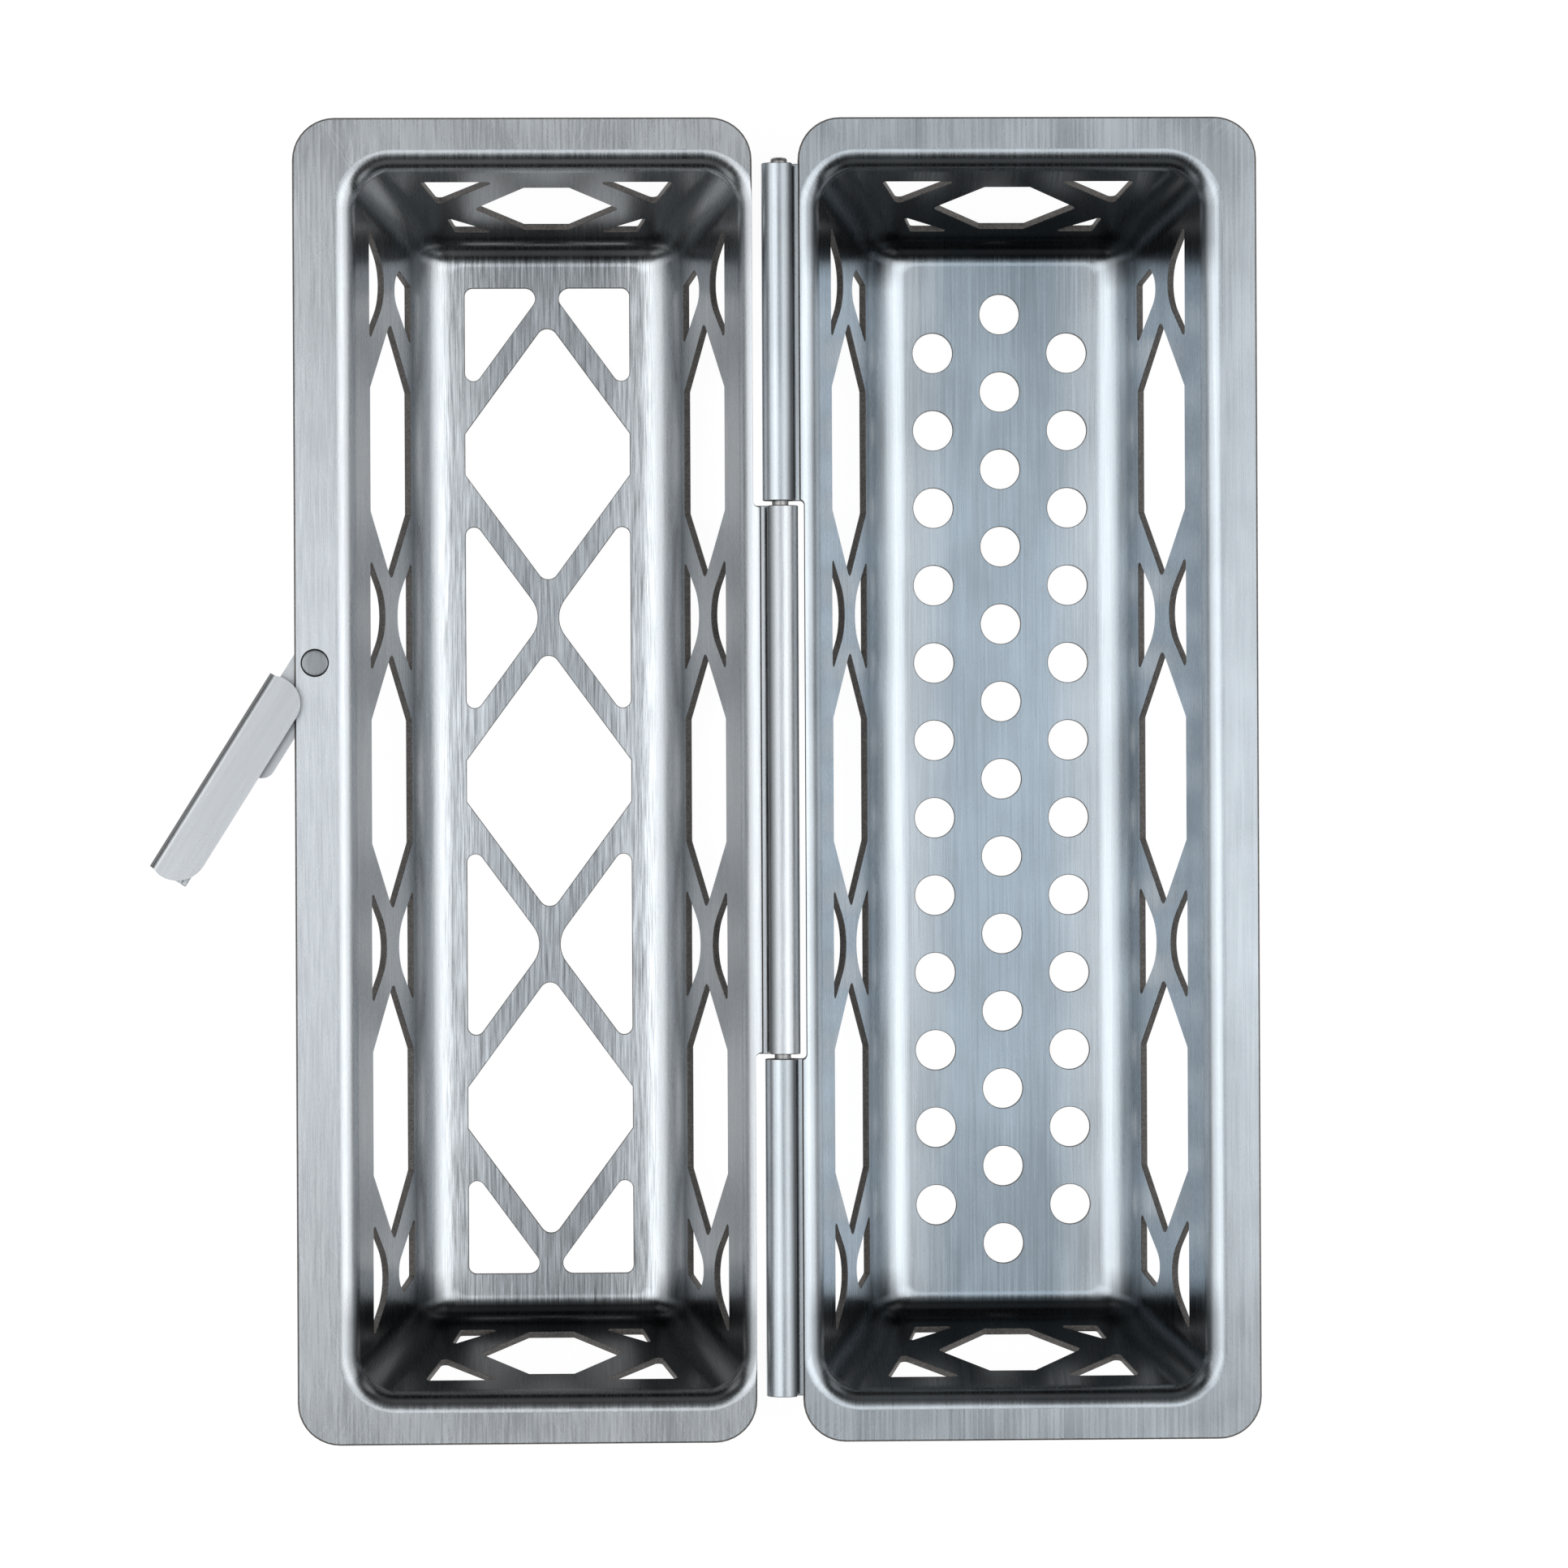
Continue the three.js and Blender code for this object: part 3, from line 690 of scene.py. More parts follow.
def dress(thing, side_of_row):
    """Exact shading normals, coordinates and material slots, then the move into the row frame.

    Slot 0 is the sheet's skin and slot 1 its cut edges. side_of_row is -1 for the mirrored base tray.
    """
    mesh = thing.data
    points = np.empty(len(mesh.vertices) * 3)
    mesh.vertices.foreach_get("co", points)
    points = points.reshape(-1, 3)
    at_vertex = sheet_normals(points)
    centres = np.array([tuple(p.center) for p in mesh.polygons])
    facing = np.array([tuple(p.normal) for p in mesh.polygons])
    agree = (facing * sheet_normals(centres)).sum(axis=1)
    loops = corner_normals(mesh, at_vertex, facing, agree)
    store_formed(mesh, at_vertex)
    store_unrolled(mesh, points, centres, facing)
    slots = np.where(np.abs(agree) > SKIN_AGREES, 0, 1)
    mesh.polygons.foreach_set("material_index", slots.astype(int))
    mesh.polygons.foreach_set("use_smooth", np.ones(len(mesh.polygons), bool))
    place = Matrix.Translation((HINGE_X, 0, RIM_Z)) @ Matrix.Diagonal((side_of_row, 1, 1, 1))
    mesh.transform(Matrix.Scale(0.001, 4) @ place)
    if side_of_row < 0:
        mesh.flip_normals()
        loops[:, 0] *= -1
        loops = loops_after_flip(mesh, loops)
    mesh.normals_split_custom_set([tuple(n) for n in loops])


def loops_after_flip(mesh, loops):
    """Loop values in the order that flipping the faces leaves: each face keeps its first corner."""
    moved = loops.copy()
    for polygon in mesh.polygons:
        first, count = polygon.loop_start, polygon.loop_total
        moved[first + 1:first + count] = loops[first + 1:first + count][::-1]
    return moved


def make_tray(name, outline, knuckles, floor_outlines):
    tray = pressed_tray(name)
    combine(tray, rim_blank(outline), "INTERSECT")
    for low, high in knuckles:
        combine(tray, knuckle(low, high), "UNION")
    combine(tray, sheet_cutters(floor_outlines), "DIFFERENCE")
    return tray


def turned(name, profile):
    """A solid of revolution about Z from (radius, height) pairs, lowest first."""
    angles = np.arange(ROUND_STEPS) * 2 * math.pi / ROUND_STEPS
    rings = []
    for radius, height in profile:
        rings.append(np.column_stack([
            radius * np.cos(angles), radius * np.sin(angles), np.full(ROUND_STEPS, height)]))
    return new_solid(name, *stack(rings))


def rivet_seat():
    """The cutter for the rivet's sunk head, placed on the base tray before it is mirrored."""
    wide = RIVET_HEAD + RIVET_RING / 2
    narrow = RIVET_SHANK + RIVET_RING
    lowest = -3
    seat = turned("seat", [
        (narrow, lowest), (narrow, -RIVET_SINK), (wide, -0.6), (wide, -0.06), (wide + 0.5, 0.44)])
    seat.data.transform(Matrix.Translation((-RIVET_X, RIVET_Y, 0)))
    return seat


def make_base():
    half = JOINT_Y - JOINT_GAP / 2
    outline = rim_outline(BASE_EDGE, BASE_FREE_EDGE, half, True)
    tray = make_tray("base_sheet", outline, [(-half, half)], floor_lattice())
    combine(tray, rivet_seat(), "DIFFERENCE")
    dress(tray, -1)
    return tray


def make_lid():
    half = JOINT_Y + JOINT_GAP / 2
    outline = rim_outline(LID_EDGE, LID_FREE_EDGE, half, False)
    knuckles = [(-KNUCKLE_END, -half), (half, KNUCKLE_END)]
    tray = make_tray("lid_sheet", outline, knuckles, floor_holes())
    dress(tray, 1)
    return tray


# ---------- pin, rivet and latch ----------

def finish_solid(thing, coordinates_at, placement, smooth_angle=35):
    """Stored coordinates in millimetres, smooth shading up to an angle, and the move into the row frame."""
    mesh = thing.data
    points = np.array([tuple(v.co) for v in mesh.vertices])
    u, v = coordinates_at(points)
    layer = mesh.uv_layers.new(name="unrolled")
    index = np.array([loop.vertex_index for loop in mesh.loops])
    layer.data.foreach_set("uv", np.column_stack([u[index], v[index]]).ravel())
    mesh.polygons.foreach_set("use_smooth", np.ones(len(mesh.polygons), bool))
    mesh.set_sharp_from_angle(angle=math.radians(smooth_angle))
    mesh.transform(Matrix.Scale(0.001, 4) @ placement)
    level = thing.modifiers.new("normals", "WEIGHTED_NORMAL")
    level.keep_sharp = True
    settle(thing)


def make_pin():
    """Drawn wire with a cropped lower end and a peened, slightly lumpy upper end."""
    body = PIN_RADIUS - 0.04
    profile = [(body - 0.25, -KNUCKLE_END), (body, -KNUCKLE_END + 0.25)]
    profile += [(body, y) for y in np.linspace(-KNUCKLE_END + 3, KNUCKLE_END - 1, 24)]
    profile += [(body, PIN_TOP - 1.3), (PIN_RADIUS, PIN_TOP - 0.9), (PIN_RADIUS, PIN_TOP - 0.55)]
    dome = [(0.15, 0.25), (0.45, 0.1), (0.9, 0.02), (1.35, 0)]
    profile += [(PIN_RADIUS - inset, PIN_TOP - drop) for inset, drop in dome]
    pin = turned("pin_wire", profile)
    for vertex in pin.data.vertices:
        if vertex.co.z > PIN_TOP - 1:
            dent = random.uniform(0, 0.06)
            vertex.co.z -= dent
            vertex.co.x *= 1 - 0.5 * dent
            vertex.co.y *= 1 - 0.5 * dent

    def around(points):
        return np.arctan2(points[:, 1], points[:, 0]) * PIN_RADIUS, points[:, 2]

    lay_down = Matrix.Rotation(-math.pi / 2, 4, "X")
    finish_solid(pin, around, Matrix.Translation((HINGE_X, 0, RIM_Z + HINGE_LIFT)) @ lay_down)
    return pin


def make_rivet():
    """Sunk head flush with the rim, a shank, and a tail head pressed over under the latch."""
    under = LATCH_FOOT - 0.3
    tail = [(1.6, 1.2), (0.9, 1.12), (0.3, 0.85), (0, 0.45), (0, 0.1), (0.1, 0)]
    head = [(0, 0.4), (0, 0.12), (0.1, 0.03), (0.25, 0), (1.2, 0)]
    profile = [(RIVET_TAIL - inset, under - drop) for inset, drop in tail]
    profile += [(RIVET_SHANK, under), (RIVET_SHANK, -RIVET_SINK)]
    profile += [(RIVET_HEAD - inset, -drop) for inset, drop in head]
    rivet = turned("rivet_body", profile)
    place = Matrix.Translation((HINGE_X + RIVET_X, RIVET_Y, RIM_Z))
    finish_solid(rivet, lambda points: (points[:, 0], points[:, 1]), place)
    return rivet


def latch_section():
    """The C section as (v, z): top leaf, rounded fold and bottom leaf, open towards +v."""
    mouth = 14
    inner = LATCH_FOLD - LATCH_SHEET
    low = LATCH_FOOT + LATCH_FOLD
    high = LATCH_TOP - LATCH_FOLD
    quarter = math.pi / 2
    return [
        (mouth, LATCH_FOOT), (mouth, LATCH_FOOT + LATCH_SHEET),
        *arc(LATCH_FOLD, low, inner, -quarter, -2 * quarter),
        *arc(LATCH_FOLD, high, inner, 2 * quarter, quarter),
        (mouth, LATCH_TOP - LATCH_SHEET), (mouth, LATCH_TOP),
        *arc(LATCH_FOLD, high, LATCH_FOLD, quarter, 2 * quarter),
        *arc(LATCH_FOLD, low, LATCH_FOLD, 2 * quarter, 3 * quarter),
    ]


def latch_top_outline():
    """The top leaf seen from above: its corners are well rounded and swell a little past the fold."""
    bow = 0.5
    length, width = LATCH_LENGTH, LATCH_TOP_WIDTH
    return rounded([
        (0, -1, 0), (length, -1, 0), (length, 0.8, 0.5), (length + bow, 2.4, 2),
        (length + bow, width, 5.8), (-bow, width, 5.0), (-bow, 2.4, 2), (0, 0.8, 0.5),
    ])


def latch_foot_outline():
    """The bottom leaf with the wider pad and the ear that turns on the rivet."""
    length, width, pad_width = LATCH_LENGTH, LATCH_FOOT_WIDTH, LATCH_PAD_WIDTH
    ear_end, ear_side, radius = PIVOT_U - PIVOT_RADIUS, PIVOT_V - PIVOT_RADIUS, PIVOT_RADIUS
    return rounded([
        (0, -1, 0), (length, -1, 0), (length, width, 0.4), (LATCH_PAD_LENGTH + 1.5, width, 1.2),
        (LATCH_PAD_LENGTH, pad_width, 2.5), (ear_end, pad_width, radius), (ear_end, ear_side, radius),
        (0, ear_side, 0),
    ])


def latch_lip():
    """The low rib along the free edge of the bottom leaf."""
    start, end = LATCH_LIP_START, LATCH_LENGTH - 0.02
    outer = LATCH_FOOT_WIDTH - 0.01
    inner = LATCH_FOOT_WIDTH - LATCH_SHEET
    low = LATCH_FOOT + LATCH_SHEET / 2
    high = LATCH_FOOT + LATCH_SHEET + LATCH_LIP
    outline = rounded([(start, inner, 0.4), (end, inner, 0.1), (end, outer, 0.1), (start, outer, 0.4)])
    return gathered("lip", [prism(outline, [(low, 0), (high - 0.2, 0), (high, -0.15)])])


def make_latch():
    """The channel, trimmed to a different outline over and under the rim plane."""
    stand = Matrix(((0, 0, 1, 0), (1, 0, 0, 0), (0, 1, 0, 0), (0, 0, 0, 1)))
    channel = [(-14, 0), (LATCH_LENGTH + 2, 0)]
    latch = gathered("latch_channel", [prism(latch_section(), channel, stand)])
    foot = gathered("latch_foot", [prism(latch_section(), channel, stand)])
    past = 5
    combine(latch, plate("keep", latch_top_outline(), 0, past), "INTERSECT")
    combine(foot, plate("keep", latch_foot_outline(), -past, 0), "INTERSECT")
    combine(latch, foot, "UNION")
    combine(latch, latch_lip(), "UNION")
    bore = circle(PIVOT_U, PIVOT_V, RIVET_SHANK + RIVET_RING)
    combine(latch, plate("bore", bore, -past, 0), "DIFFERENCE")
    bevel = latch.modifiers.new("edges", "BEVEL")
    bevel.width = 0.14
    bevel.segments = 2
    bevel.limit_method = "ANGLE"
    bevel.angle_limit = math.radians(40)
    settle(latch)

    def along_fold(points):
        round_fold = np.where(points[:, 1] < LATCH_FOLD, LATCH_TOP - points[:, 2], 0)
        return points[:, 1] - round_fold, points[:, 0]

    turn = Matrix.Rotation(-math.pi / 2 - LATCH_ANGLE, 4, "Z")
    place = Matrix.Translation((HINGE_X + RIVET_X, RIVET_Y, RIM_Z)) @ turn
    finish_solid(latch, along_fold, place @ Matrix.Translation((-PIVOT_U, -PIVOT_V, 0)), 50)
    return latch


def keep_in_box(thing, node):
    """No vertex reaches outside the box of the CAD node that the piece stands for."""
    low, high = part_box(node)
    for vertex in thing.data.vertices:
        for axis in range(3):
            vertex.co[axis] = min(max(vertex.co[axis], low[axis]), high[axis])


# ---------- materials ----------

class Tree:
    """Short calls for building a material's nodes."""

    def __init__(self, name):
        self.material = bpy.data.materials.new(name)
        self.material.use_nodes = True
        self.tree = self.material.node_tree
        self.tree.nodes.clear()

    def add(self, kind, inputs=None, **settings):
        made = self.tree.nodes.new("ShaderNode" + kind)
        for key, value in settings.items():
            setattr(made, key, value)
        for key, value in (inputs or {}).items():
            if isinstance(value, bpy.types.NodeSocket):
                self.tree.links.new(value, made.inputs[key])
            else:
                made.inputs[key].default_value = value
        return made

    def math(self, operation, a, b=0.0, clamp=False):
        return self.add("Math", {0: a, 1: b}, operation=operation, use_clamp=clamp).outputs[0]

    def noise(self, coordinates, size, detail, roughness, turn=0.0, shift=0.0):
        """Noise over flat coordinates in millimetres, whose grains are about size = (u, v) large."""
        if turn:
            coordinates = self.add("Mapping", {"Vector": coordinates, "Rotation": (0, 0, turn)}).outputs[0]
        mapped = self.add("Mapping", {
            "Vector": coordinates,
            "Location": (shift, 0.37 * shift, 0),
            "Scale": (1 / size[0], 1 / size[1], 1),
        }).outputs[0]
        made = self.add("TexNoise", {
            "Vector": mapped, "Scale": 1.0, "Detail": detail, "Roughness": roughness,
        }, noise_dimensions="2D")
        return made.outputs["Fac"]

    def spread(self, value, low, high, to_low, to_high):
        """Maps low..high of a value onto to_low..to_high and stops there."""
        return self.add("MapRange", {
            "Value": value, "From Min": low, "From Max": high, "To Min": to_low, "To Max": to_high,
        }).outputs[0]

    def multiplied(self, first, second, share=1.0):
        """A colour multiplied by another one, as far as share says."""
        inputs = {"Fac": share, "Color1": first, "Color2": second}
        return self.add("MixRGB", inputs, blend_type="MULTIPLY").outputs[0]

    def toned(self, colour, tone):
        """A fixed colour multiplied by a brightness."""
        grey = self.add("CombineColor", {"Red": tone, "Green": tone, "Blue": tone}).outputs[0]
        return self.multiplied((*colour, 1), grey)

    def finish(self, shader):
        output = self.add("OutputMaterial")
        self.tree.links.new(shader, output.inputs["Surface"])
        return self.material


def brushed_patterns(t, uv, grain_length, scratches, shift):
    """Patterns in the sheet's own coordinates: grain lines, bands, clouds, dimples and scratches."""
    fine = t.noise(uv, (0.16, grain_length), 3, 0.6, shift=shift)
    coarse = t.noise(uv, (0.5, grain_length * 1.6), 3, 0.55, shift=shift + 31)
    scuffs = t.noise(uv, (0.25, 16), 2, 0.5, turn=0.55, shift=shift + 5)
    arcs = t.noise(uv, (0.3, 22), 2, 0.5, turn=-0.35, shift=shift + 19)
    marks = t.math("MAXIMUM", t.spread(scuffs, 0.69, 0.76, 0, 1), t.spread(arcs, 0.7, 0.77, 0, 1))
    return SimpleNamespace(
        lines=t.math("ADD", t.math("MULTIPLY", fine, 0.55), t.math("MULTIPLY", coarse, 0.45)),
        coarse=coarse,
        bands=t.noise(uv, (3.5, 90), 2, 0.5, shift=shift + 57),
        clouds=t.noise(uv, (16, 26), 3, 0.5, shift=shift + 83),
        dimples=t.noise(uv, (0.8, 1.0), 2, 0.5, shift=shift + 11),
        marks=t.math("MULTIPLY", marks, 0.5 * scratches),
    )


def sheet_zones(t, uv):
    """Where a point lies: its place in metres, its u, and masks from 0 to 1."""
    formed = t.add("Attribute", attribute_name="formed").outputs["Fac"]
    place = t.add("SeparateXYZ", {0: t.add("TexCoord").outputs["Object"]}).outputs
    u = t.add("SeparateXYZ", {0: uv}).outputs[0]
    floor_here = t.spread(place[2], 0.0015, 0.004, 1, 0)
    in_middle = t.spread(t.math("ABSOLUTE", u), 9, 18, 1, 0)
    at_end = t.spread(t.math("ABSOLUTE", place[1]), 0.0945, 0.1015, 0, 1)
    below_rim = t.spread(place[2], 0.033, 0.0375, 1, 0)
    return SimpleNamespace(
        y=place[1],
        u=u,
        formed=formed,
        floor=floor_here,
        floor_middle=t.math("MULTIPLY", floor_here, in_middle),
        end_wall=t.math("MULTIPLY", t.math("MULTIPLY", at_end, formed), below_rim),
    )


def tone_of(t, patterns, zones, grain_here, wall_shade_and_light, painted_end_shades, fold_shade, roll_shade, cloudiness):
    """The brightness of the steel's colour: its patterns, then zones of painted shade and painted light."""
    tone = t.math("MULTIPLY", t.spread(patterns.lines, 0.34, 0.66, -0.15, 0.15), grain_here)
    tone = t.math("ADD", tone, 1.0)
    tone = t.math("MULTIPLY", tone, t.spread(patterns.bands, 0.3, 0.7, 0.95, 1.04))
    tone = t.math("MULTIPLY", tone, t.spread(patterns.clouds, 0.3, 0.7, 1 - cloudiness, 1 + cloudiness))
    tone = t.math("ADD", tone, t.math("MULTIPLY", patterns.marks, 0.12))
    # Painted shade on steep faces where the wall factor is under 1, and painted light where it is over 1.
    upright = t.add("SeparateXYZ", {0: t.add("TexCoord").outputs["Normal"]}).outputs[2]
    tone = t.math("MULTIPLY", tone, t.spread(t.math("ABSOLUTE", upright), 0.35, 0.75, wall_shade_and_light, 1))
    # Painted shade on the walls at the two ends of the Y axis, with its own factor at each end.
    end_shade = t.spread(zones.y, -0.01, 0.01, *painted_end_shades)
    tone = t.math("MULTIPLY", tone, t.spread(zones.end_wall, 0, 1, 1, end_shade))
    # Painted shade round the lower half of a fold, where the latch's fold turns under its top leaf.
    tone = t.math("MULTIPLY", tone, t.spread(zones.u, -0.9, 0.7, fold_shade, 1))
    # Painted shade on the knuckle's roll past its top, towards the sheet's free end.
    return t.math("MULTIPLY", tone, t.spread(zones.u, ROLL_TOP_U - 1.9, ROLL_TOP_U - 0.1, roll_shade, 1))


def relief_of(t, patterns, zones, grain_here):
    """The height of the steel's surface, in millimetres, from its patterns."""
    height = t.math("MULTIPLY", t.math("MULTIPLY", patterns.lines, 0.0009), grain_here)
    dimple_depth = t.spread(zones.formed, 0, 1, 0.0015, 0.008)
    height = t.math("ADD", height, t.math("MULTIPLY", patterns.dimples, dimple_depth))
    band_depth = t.spread(zones.formed, 0, 1, 0.008, 0.002)
    height = t.math("ADD", height, t.math("MULTIPLY", patterns.bands, band_depth))
    height = t.math("SUBTRACT", height, t.math("MULTIPLY", patterns.marks, 0.002))
    return t.math("MULTIPLY", height, t.spread(zones.end_wall, 0, 1, 1, 0.35))


def steel(name, colour, roughness, grain, grain_length, floor_grain=1.0, scratches=1.0, anisotropy=0.2,
          across=(1, 0, 0), shift=0.0, floor_shade_and_tint=(1, 1, 1), wall_shade_and_light=1.0, painted_end_shades=(1.0, 1.0),
          fold_shade=1.0, roll_shade=1.0, cloudiness=0.03):
    """Brushed stainless steel: fine grain along v, broader streaks, a faint orange peel and scratches.

    The floor can be more strongly grained and its middle given painted shade and a tint, steep walls
    painted shade where their factor is under 1 and painted light where it is over 1, the walls at the
    two ends of the Y axis painted shade of their own, and the metal round a fold or past the top of
    the knuckle's roll painted shade.
    """
    t = Tree(name)
    uv = t.add("UVMap", uv_map="unrolled").outputs[0]
    patterns = brushed_patterns(t, uv, grain_length, scratches, shift)
    zones = sheet_zones(t, uv)
    flat = t.math("SUBTRACT", 1.0, zones.formed)
    grain_here = t.spread(zones.floor, 0, 1, grain, floor_grain)
    grain_here = t.math("MULTIPLY", t.spread(flat, 0, 1, 0.2, 1), grain_here)
    tone = tone_of(t, patterns, zones, grain_here, wall_shade_and_light, painted_end_shades, fold_shade, roll_shade, cloudiness)
    # Painted shade in the middle of the cavity floor, with a cool tint that is strongest on the lid.
    tint = t.multiplied(t.toned(colour, tone), (*floor_shade_and_tint, 1), zones.floor_middle)

    rough = t.spread(patterns.coarse, 0.3, 0.7, roughness - 0.03, roughness + 0.04)
    rough = t.math("ADD", rough, t.spread(patterns.clouds, 0.3, 0.7, -0.02, 0.03))
    rough = t.math("ADD", rough, t.math("MULTIPLY", patterns.marks, 0.06), clamp=True)

    height = relief_of(t, patterns, zones, grain_here)
    bump = t.add("Bump", {"Strength": 1.0, "Distance": 0.001, "Height": height}).outputs[0]
    direction = t.add("VectorTransform", {"Vector": across}, vector_type="VECTOR",
                      convert_from="OBJECT", convert_to="WORLD").outputs[0]
    shader = t.add("BsdfPrincipled", {
        "Base Color": tint,
        "Metallic": 1.0,
        "Roughness": rough,
        "Anisotropic": anisotropy,
        "Tangent": direction,
        "Normal": bump,
    }).outputs[0]
    return t.finish(shader)


def base_steel():
    # Painted shade in the floor's middle, on steep walls, at both ends with the -Y end darkest, and past the
    # top of the knuckle's roll.
    return steel("base_skin", (0.41, 0.435, 0.458), 0.26, grain=0.85, grain_length=8, floor_grain=3.4,
                 anisotropy=0.45, floor_shade_and_tint=(0.65, 0.66, 0.67), wall_shade_and_light=0.7, painted_end_shades=(0.2, 0.75),
                 roll_shade=0.4)


def lid_steel():
    # Painted light on steep walls; painted shade in the floor's middle, at both ends and past the top of the
    # knuckle's roll.
    return steel("lid_skin", (0.385, 0.422, 0.455), 0.26, grain=0.6, grain_length=20, floor_grain=0.9,
                 scratches=0.3, anisotropy=0.45, shift=200, floor_shade_and_tint=(0.69, 0.76, 0.81), wall_shade_and_light=1.3,
                 painted_end_shades=(0.2, 0.2), roll_shade=0.35, cloudiness=0.1)


def pin_steel():
    return steel("pin_skin", (0.30, 0.30, 0.30), 0.35, grain=1.2, grain_length=6, shift=400)


def latch_steel():
    along_fold = (math.cos(LATCH_ANGLE), -math.sin(LATCH_ANGLE), 0)
    # Painted shade, very dark, round the lower half of the latch's fold.
    return steel("latch_skin", (0.44, 0.46, 0.48), 0.3, grain=0.3, grain_length=16, floor_grain=0.3,
                 anisotropy=0.1, across=along_fold, shift=600, fold_shade=0.1)


def rivet_steel():
    return steel("rivet_skin", (0.29, 0.31, 0.33), 0.4, grain=1.0, grain_length=3, anisotropy=0.0, shift=800)


def cut_edges():
    """The sheared and burnt edge of the sheet: dull, dark and speckled."""
    t = Tree("cut_edges")
    place = t.add("TexCoord").outputs["Object"]
    speckle = t.add("TexNoise", {
        "Vector": place, "Scale": 2600.0, "Detail": 4.0, "Roughness": 0.7,
    }).outputs[0]
    wear = t.add("TexNoise", {"Vector": place, "Scale": 300.0, "Detail": 2.0}).outputs[0]
    tone = t.math("MULTIPLY", t.spread(speckle, 0.35, 0.68, 0.6, 1.5), t.spread(wear, 0.3, 0.7, 0.85, 1.15))
    bump = t.add("Bump", {"Strength": 1.0, "Distance": 0.00004, "Height": speckle}).outputs[0]
    shader = t.add("BsdfPrincipled", {
        "Base Color": t.toned((0.14, 0.132, 0.125), tone),
        "Metallic": 0.5,
        "Roughness": t.spread(wear, 0.3, 0.7, 0.5, 0.65),
        "Normal": bump,
    }).outputs[0]
    return t.finish(shader)


def pale_floor():
    """A nearly white ground that glows, so that it stays even, and takes a faint shadow."""
    t = Tree("pale_floor")
    place = t.add("TexCoord").outputs["Object"]
    cloud = t.add("TexNoise", {"Vector": place, "Scale": 3.0, "Detail": 2.0}).outputs[0]
    strength = t.spread(cloud, 0, 1, 0.93, 0.97)
    glow = t.add("Emission", {"Color": (1, 1, 1, 1), "Strength": strength}).outputs[0]
    matt = t.add("BsdfDiffuse", {"Color": (0.12, 0.12, 0.12, 1)}).outputs[0]
    return t.finish(t.add("AddShader", {0: glow, 1: matt}).outputs[0])


# ---------- the pieces ----------

base = make_base()
lid = make_lid()
pin = make_pin()
latch = make_latch()
rivet = make_rivet()

edges = cut_edges()
pieces = [
    (base, "base", "base_tray", "base_steel", base_steel()),
    (lid, "lid", "lid_tray", "lid_steel", lid_steel()),
    (pin, "lid", "hinge_pin", "pin_steel", pin_steel()),
    (latch, "latch", "latch", "latch_steel", latch_steel()),
    (rivet, "base", "latch_rivet", "rivet_steel", rivet_steel()),
]
for piece, body, node, slot, material in pieces:
    piece.data.materials.append(material)
    piece.data.materials.append(edges)
    keep_in_box(piece, node)
    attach(piece, body)
    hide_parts(node)


# ---------- floor, light and camera ----------

def area_light(name, place, size, radiance, colour):
    """A softbox that faces the middle of the trays and that the camera doesn't see.

    Radiance is its brightness as a mirror would show it.
    """
    data = bpy.data.lights.new(name, "AREA")
    data.shape = "RECTANGLE"
    data.size, data.size_y = size
    data.energy = radiance * math.pi * size[0] * size[1]
    data.color = colour
    lamp = bpy.data.objects.new(name, data)
    bpy.context.scene.collection.objects.link(lamp)
    place = Vector(place)
    up = (place - MIDDLE).normalized()
    side = Vector((0, 1, 0)).cross(up).normalized()
    turn = Matrix((side, up.cross(side), up)).transposed().to_4x4()
    lamp.matrix_world = Matrix.Translation(place) @ turn
    lamp.visible_camera = False


# The room, in metres. MIDDLE is the middle of the rim plane.
MIDDLE = Vector((0, 0, RIM_Z / 1000))
COOL = (0.97, 0.985, 1.0)
NEUTRAL = (1.0, 1.0, 0.995)
CAMERA_HEIGHT = 1.3
FRAME_WIDTH = 0.2956
SENSOR_WIDTH = 36

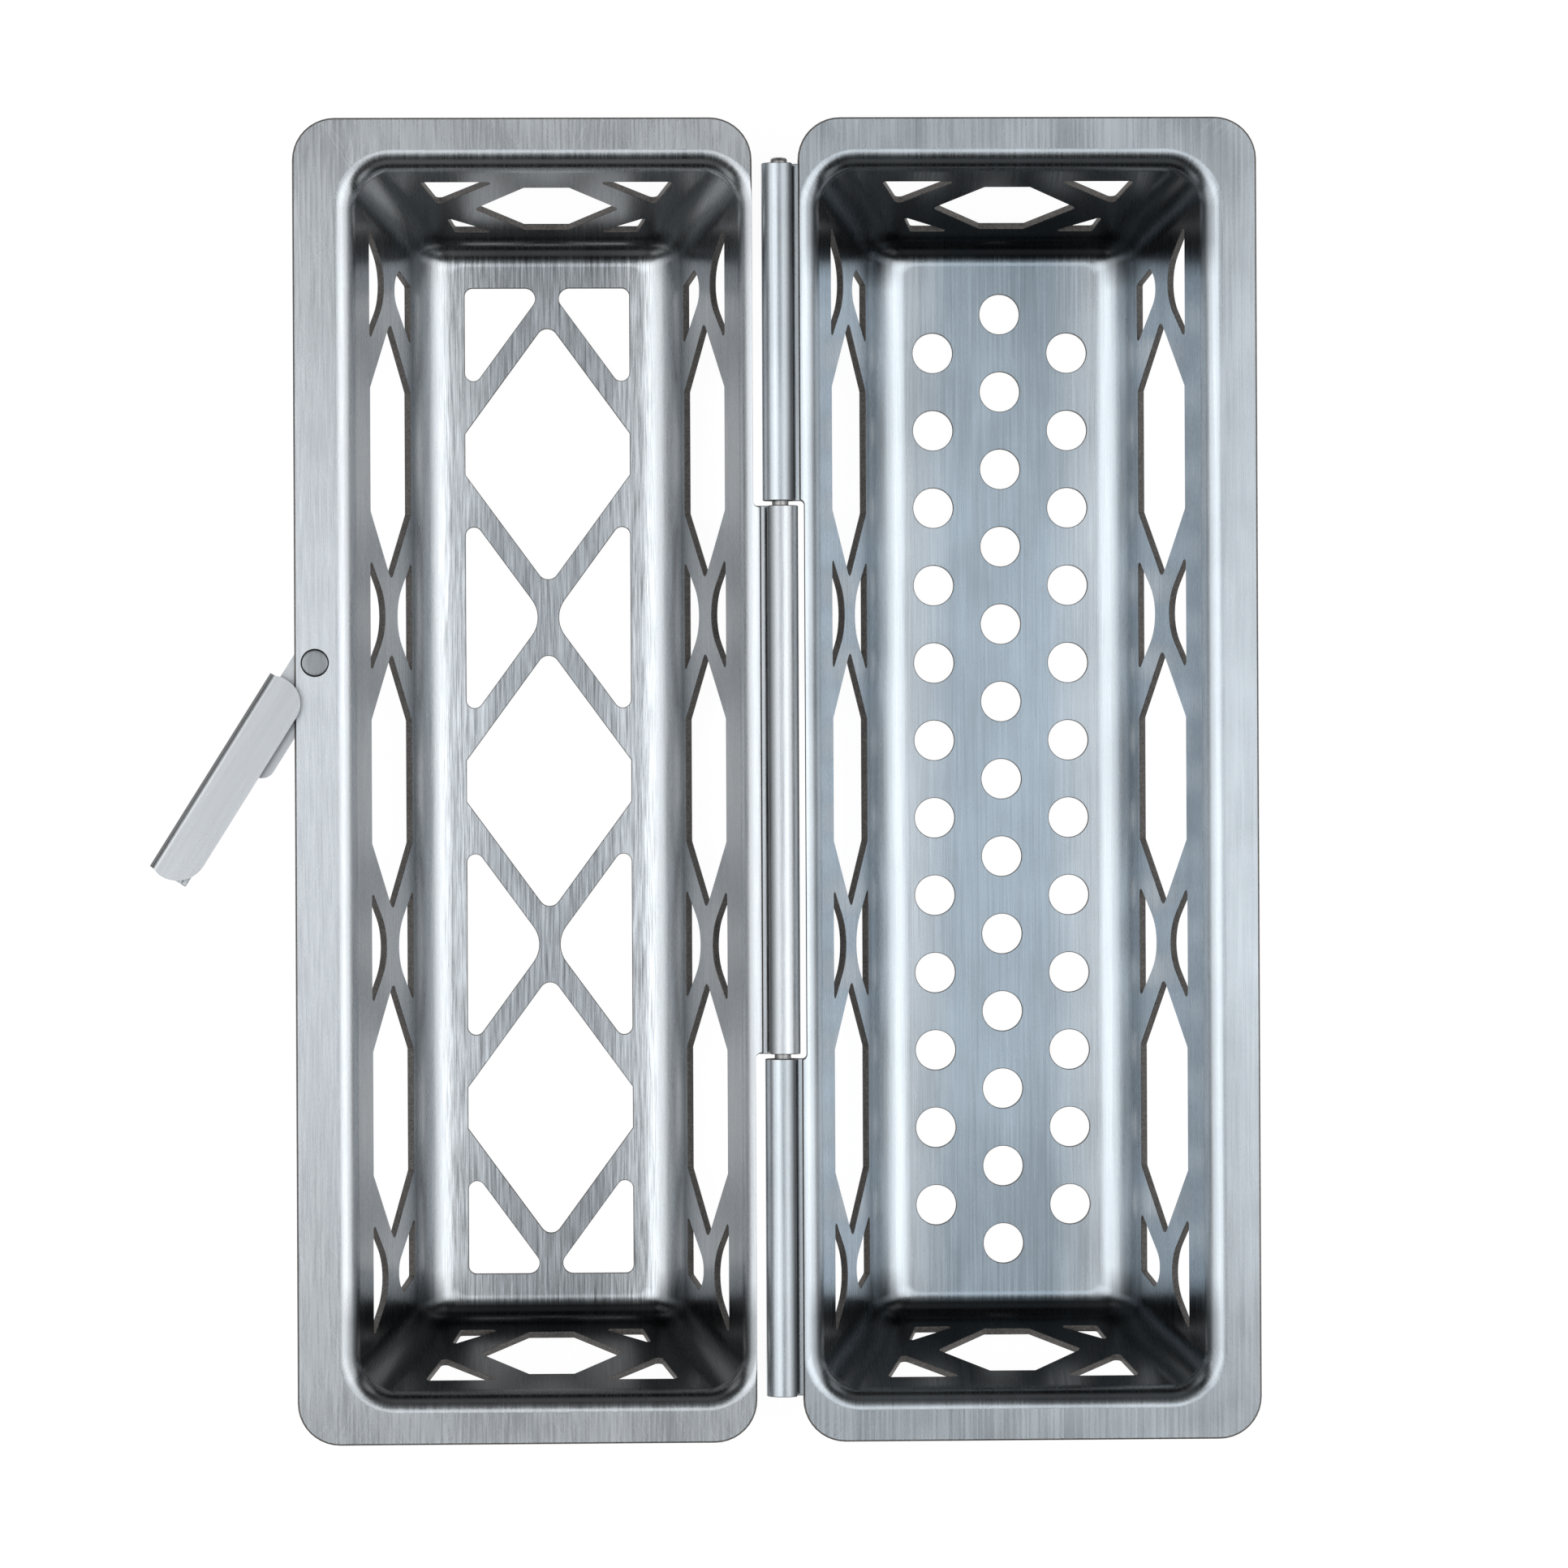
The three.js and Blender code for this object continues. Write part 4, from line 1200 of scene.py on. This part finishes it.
reach, drop = 6, 0.0004
corners = [(-1, -1), (1, -1), (1, 1), (-1, 1)]
floor_corners = [(x * reach, y * reach, -drop) for x, y in corners]
floor_mesh = bpy.data.meshes.new("floor")
floor_mesh.from_pydata(floor_corners, [], [(0, 1, 2, 3)])
floor = bpy.data.objects.new("floor", floor_mesh)
bpy.context.scene.collection.objects.link(floor)
floor.data.materials.append(pale_floor())

# Over the trays, then three boxes up each long side, and weaker fills at the ends and corners.
area_light("overhead", (0, 0, 1.7), (0.78, 0.43), 1.3, COOL)
area_light("ceiling", (0, 0.25, 1.9), (1.2, 2.2), 0.13, COOL)
for side, out in ((-1, 0.66), (1, 0.72)):
    area_light("high_box", (side * out, 0, 1.4), (0.75, 0.8), 2.6, NEUTRAL)
    area_light("low_box", (side * 1.2, 0, 0.92), (0.8, 0.9), 1.9, NEUTRAL)
    area_light("edge_box", (side * 1.5, 0, 0.4), (0.35, 0.9), 0.6, NEUTRAL)
for y in (-1, 1):
    area_light("end_fill", (0, y * 1.3, 1.0), (1.0, 0.7), 0.2, NEUTRAL)
    for x in (-1.1, 1.1):
        area_light("corner_fill", (x, y * 1.1, 0.5), (0.95, 0.55), 0.75, NEUTRAL)

world = bpy.data.worlds.new("studio")
bpy.context.scene.world = world
world.use_nodes = True
world.node_tree.nodes["Background"].inputs["Color"].default_value = (0.012, 0.0115, 0.011, 1)

# The camera looks almost straight down, a little from the base's side, with a slight roll.
roll = math.radians(-0.27)
eye = Vector((-0.0298, 0, MIDDLE.z + CAMERA_HEIGHT))
aim = Vector((0.0147, -0.0008, MIDDLE.z))
back = (eye - aim).normalized()
right = Matrix.Rotation(roll, 3, back) @ (Vector((1, 0, 0)) - back * back.x).normalized()
camera_data = bpy.data.cameras.new("camera")
camera_data.sensor_width = SENSOR_WIDTH
camera_data.lens = SENSOR_WIDTH * CAMERA_HEIGHT / FRAME_WIDTH
camera_data.clip_start = 0.01
camera_data.clip_end = 50
camera = bpy.data.objects.new("camera", camera_data)
bpy.context.scene.collection.objects.link(camera)
turn = Matrix((right, back.cross(right), back)).transposed().to_4x4()
camera.matrix_world = Matrix.Translation(eye) @ turn
bpy.context.scene.camera = camera
bpy.context.scene.view_settings.view_transform = "Standard"
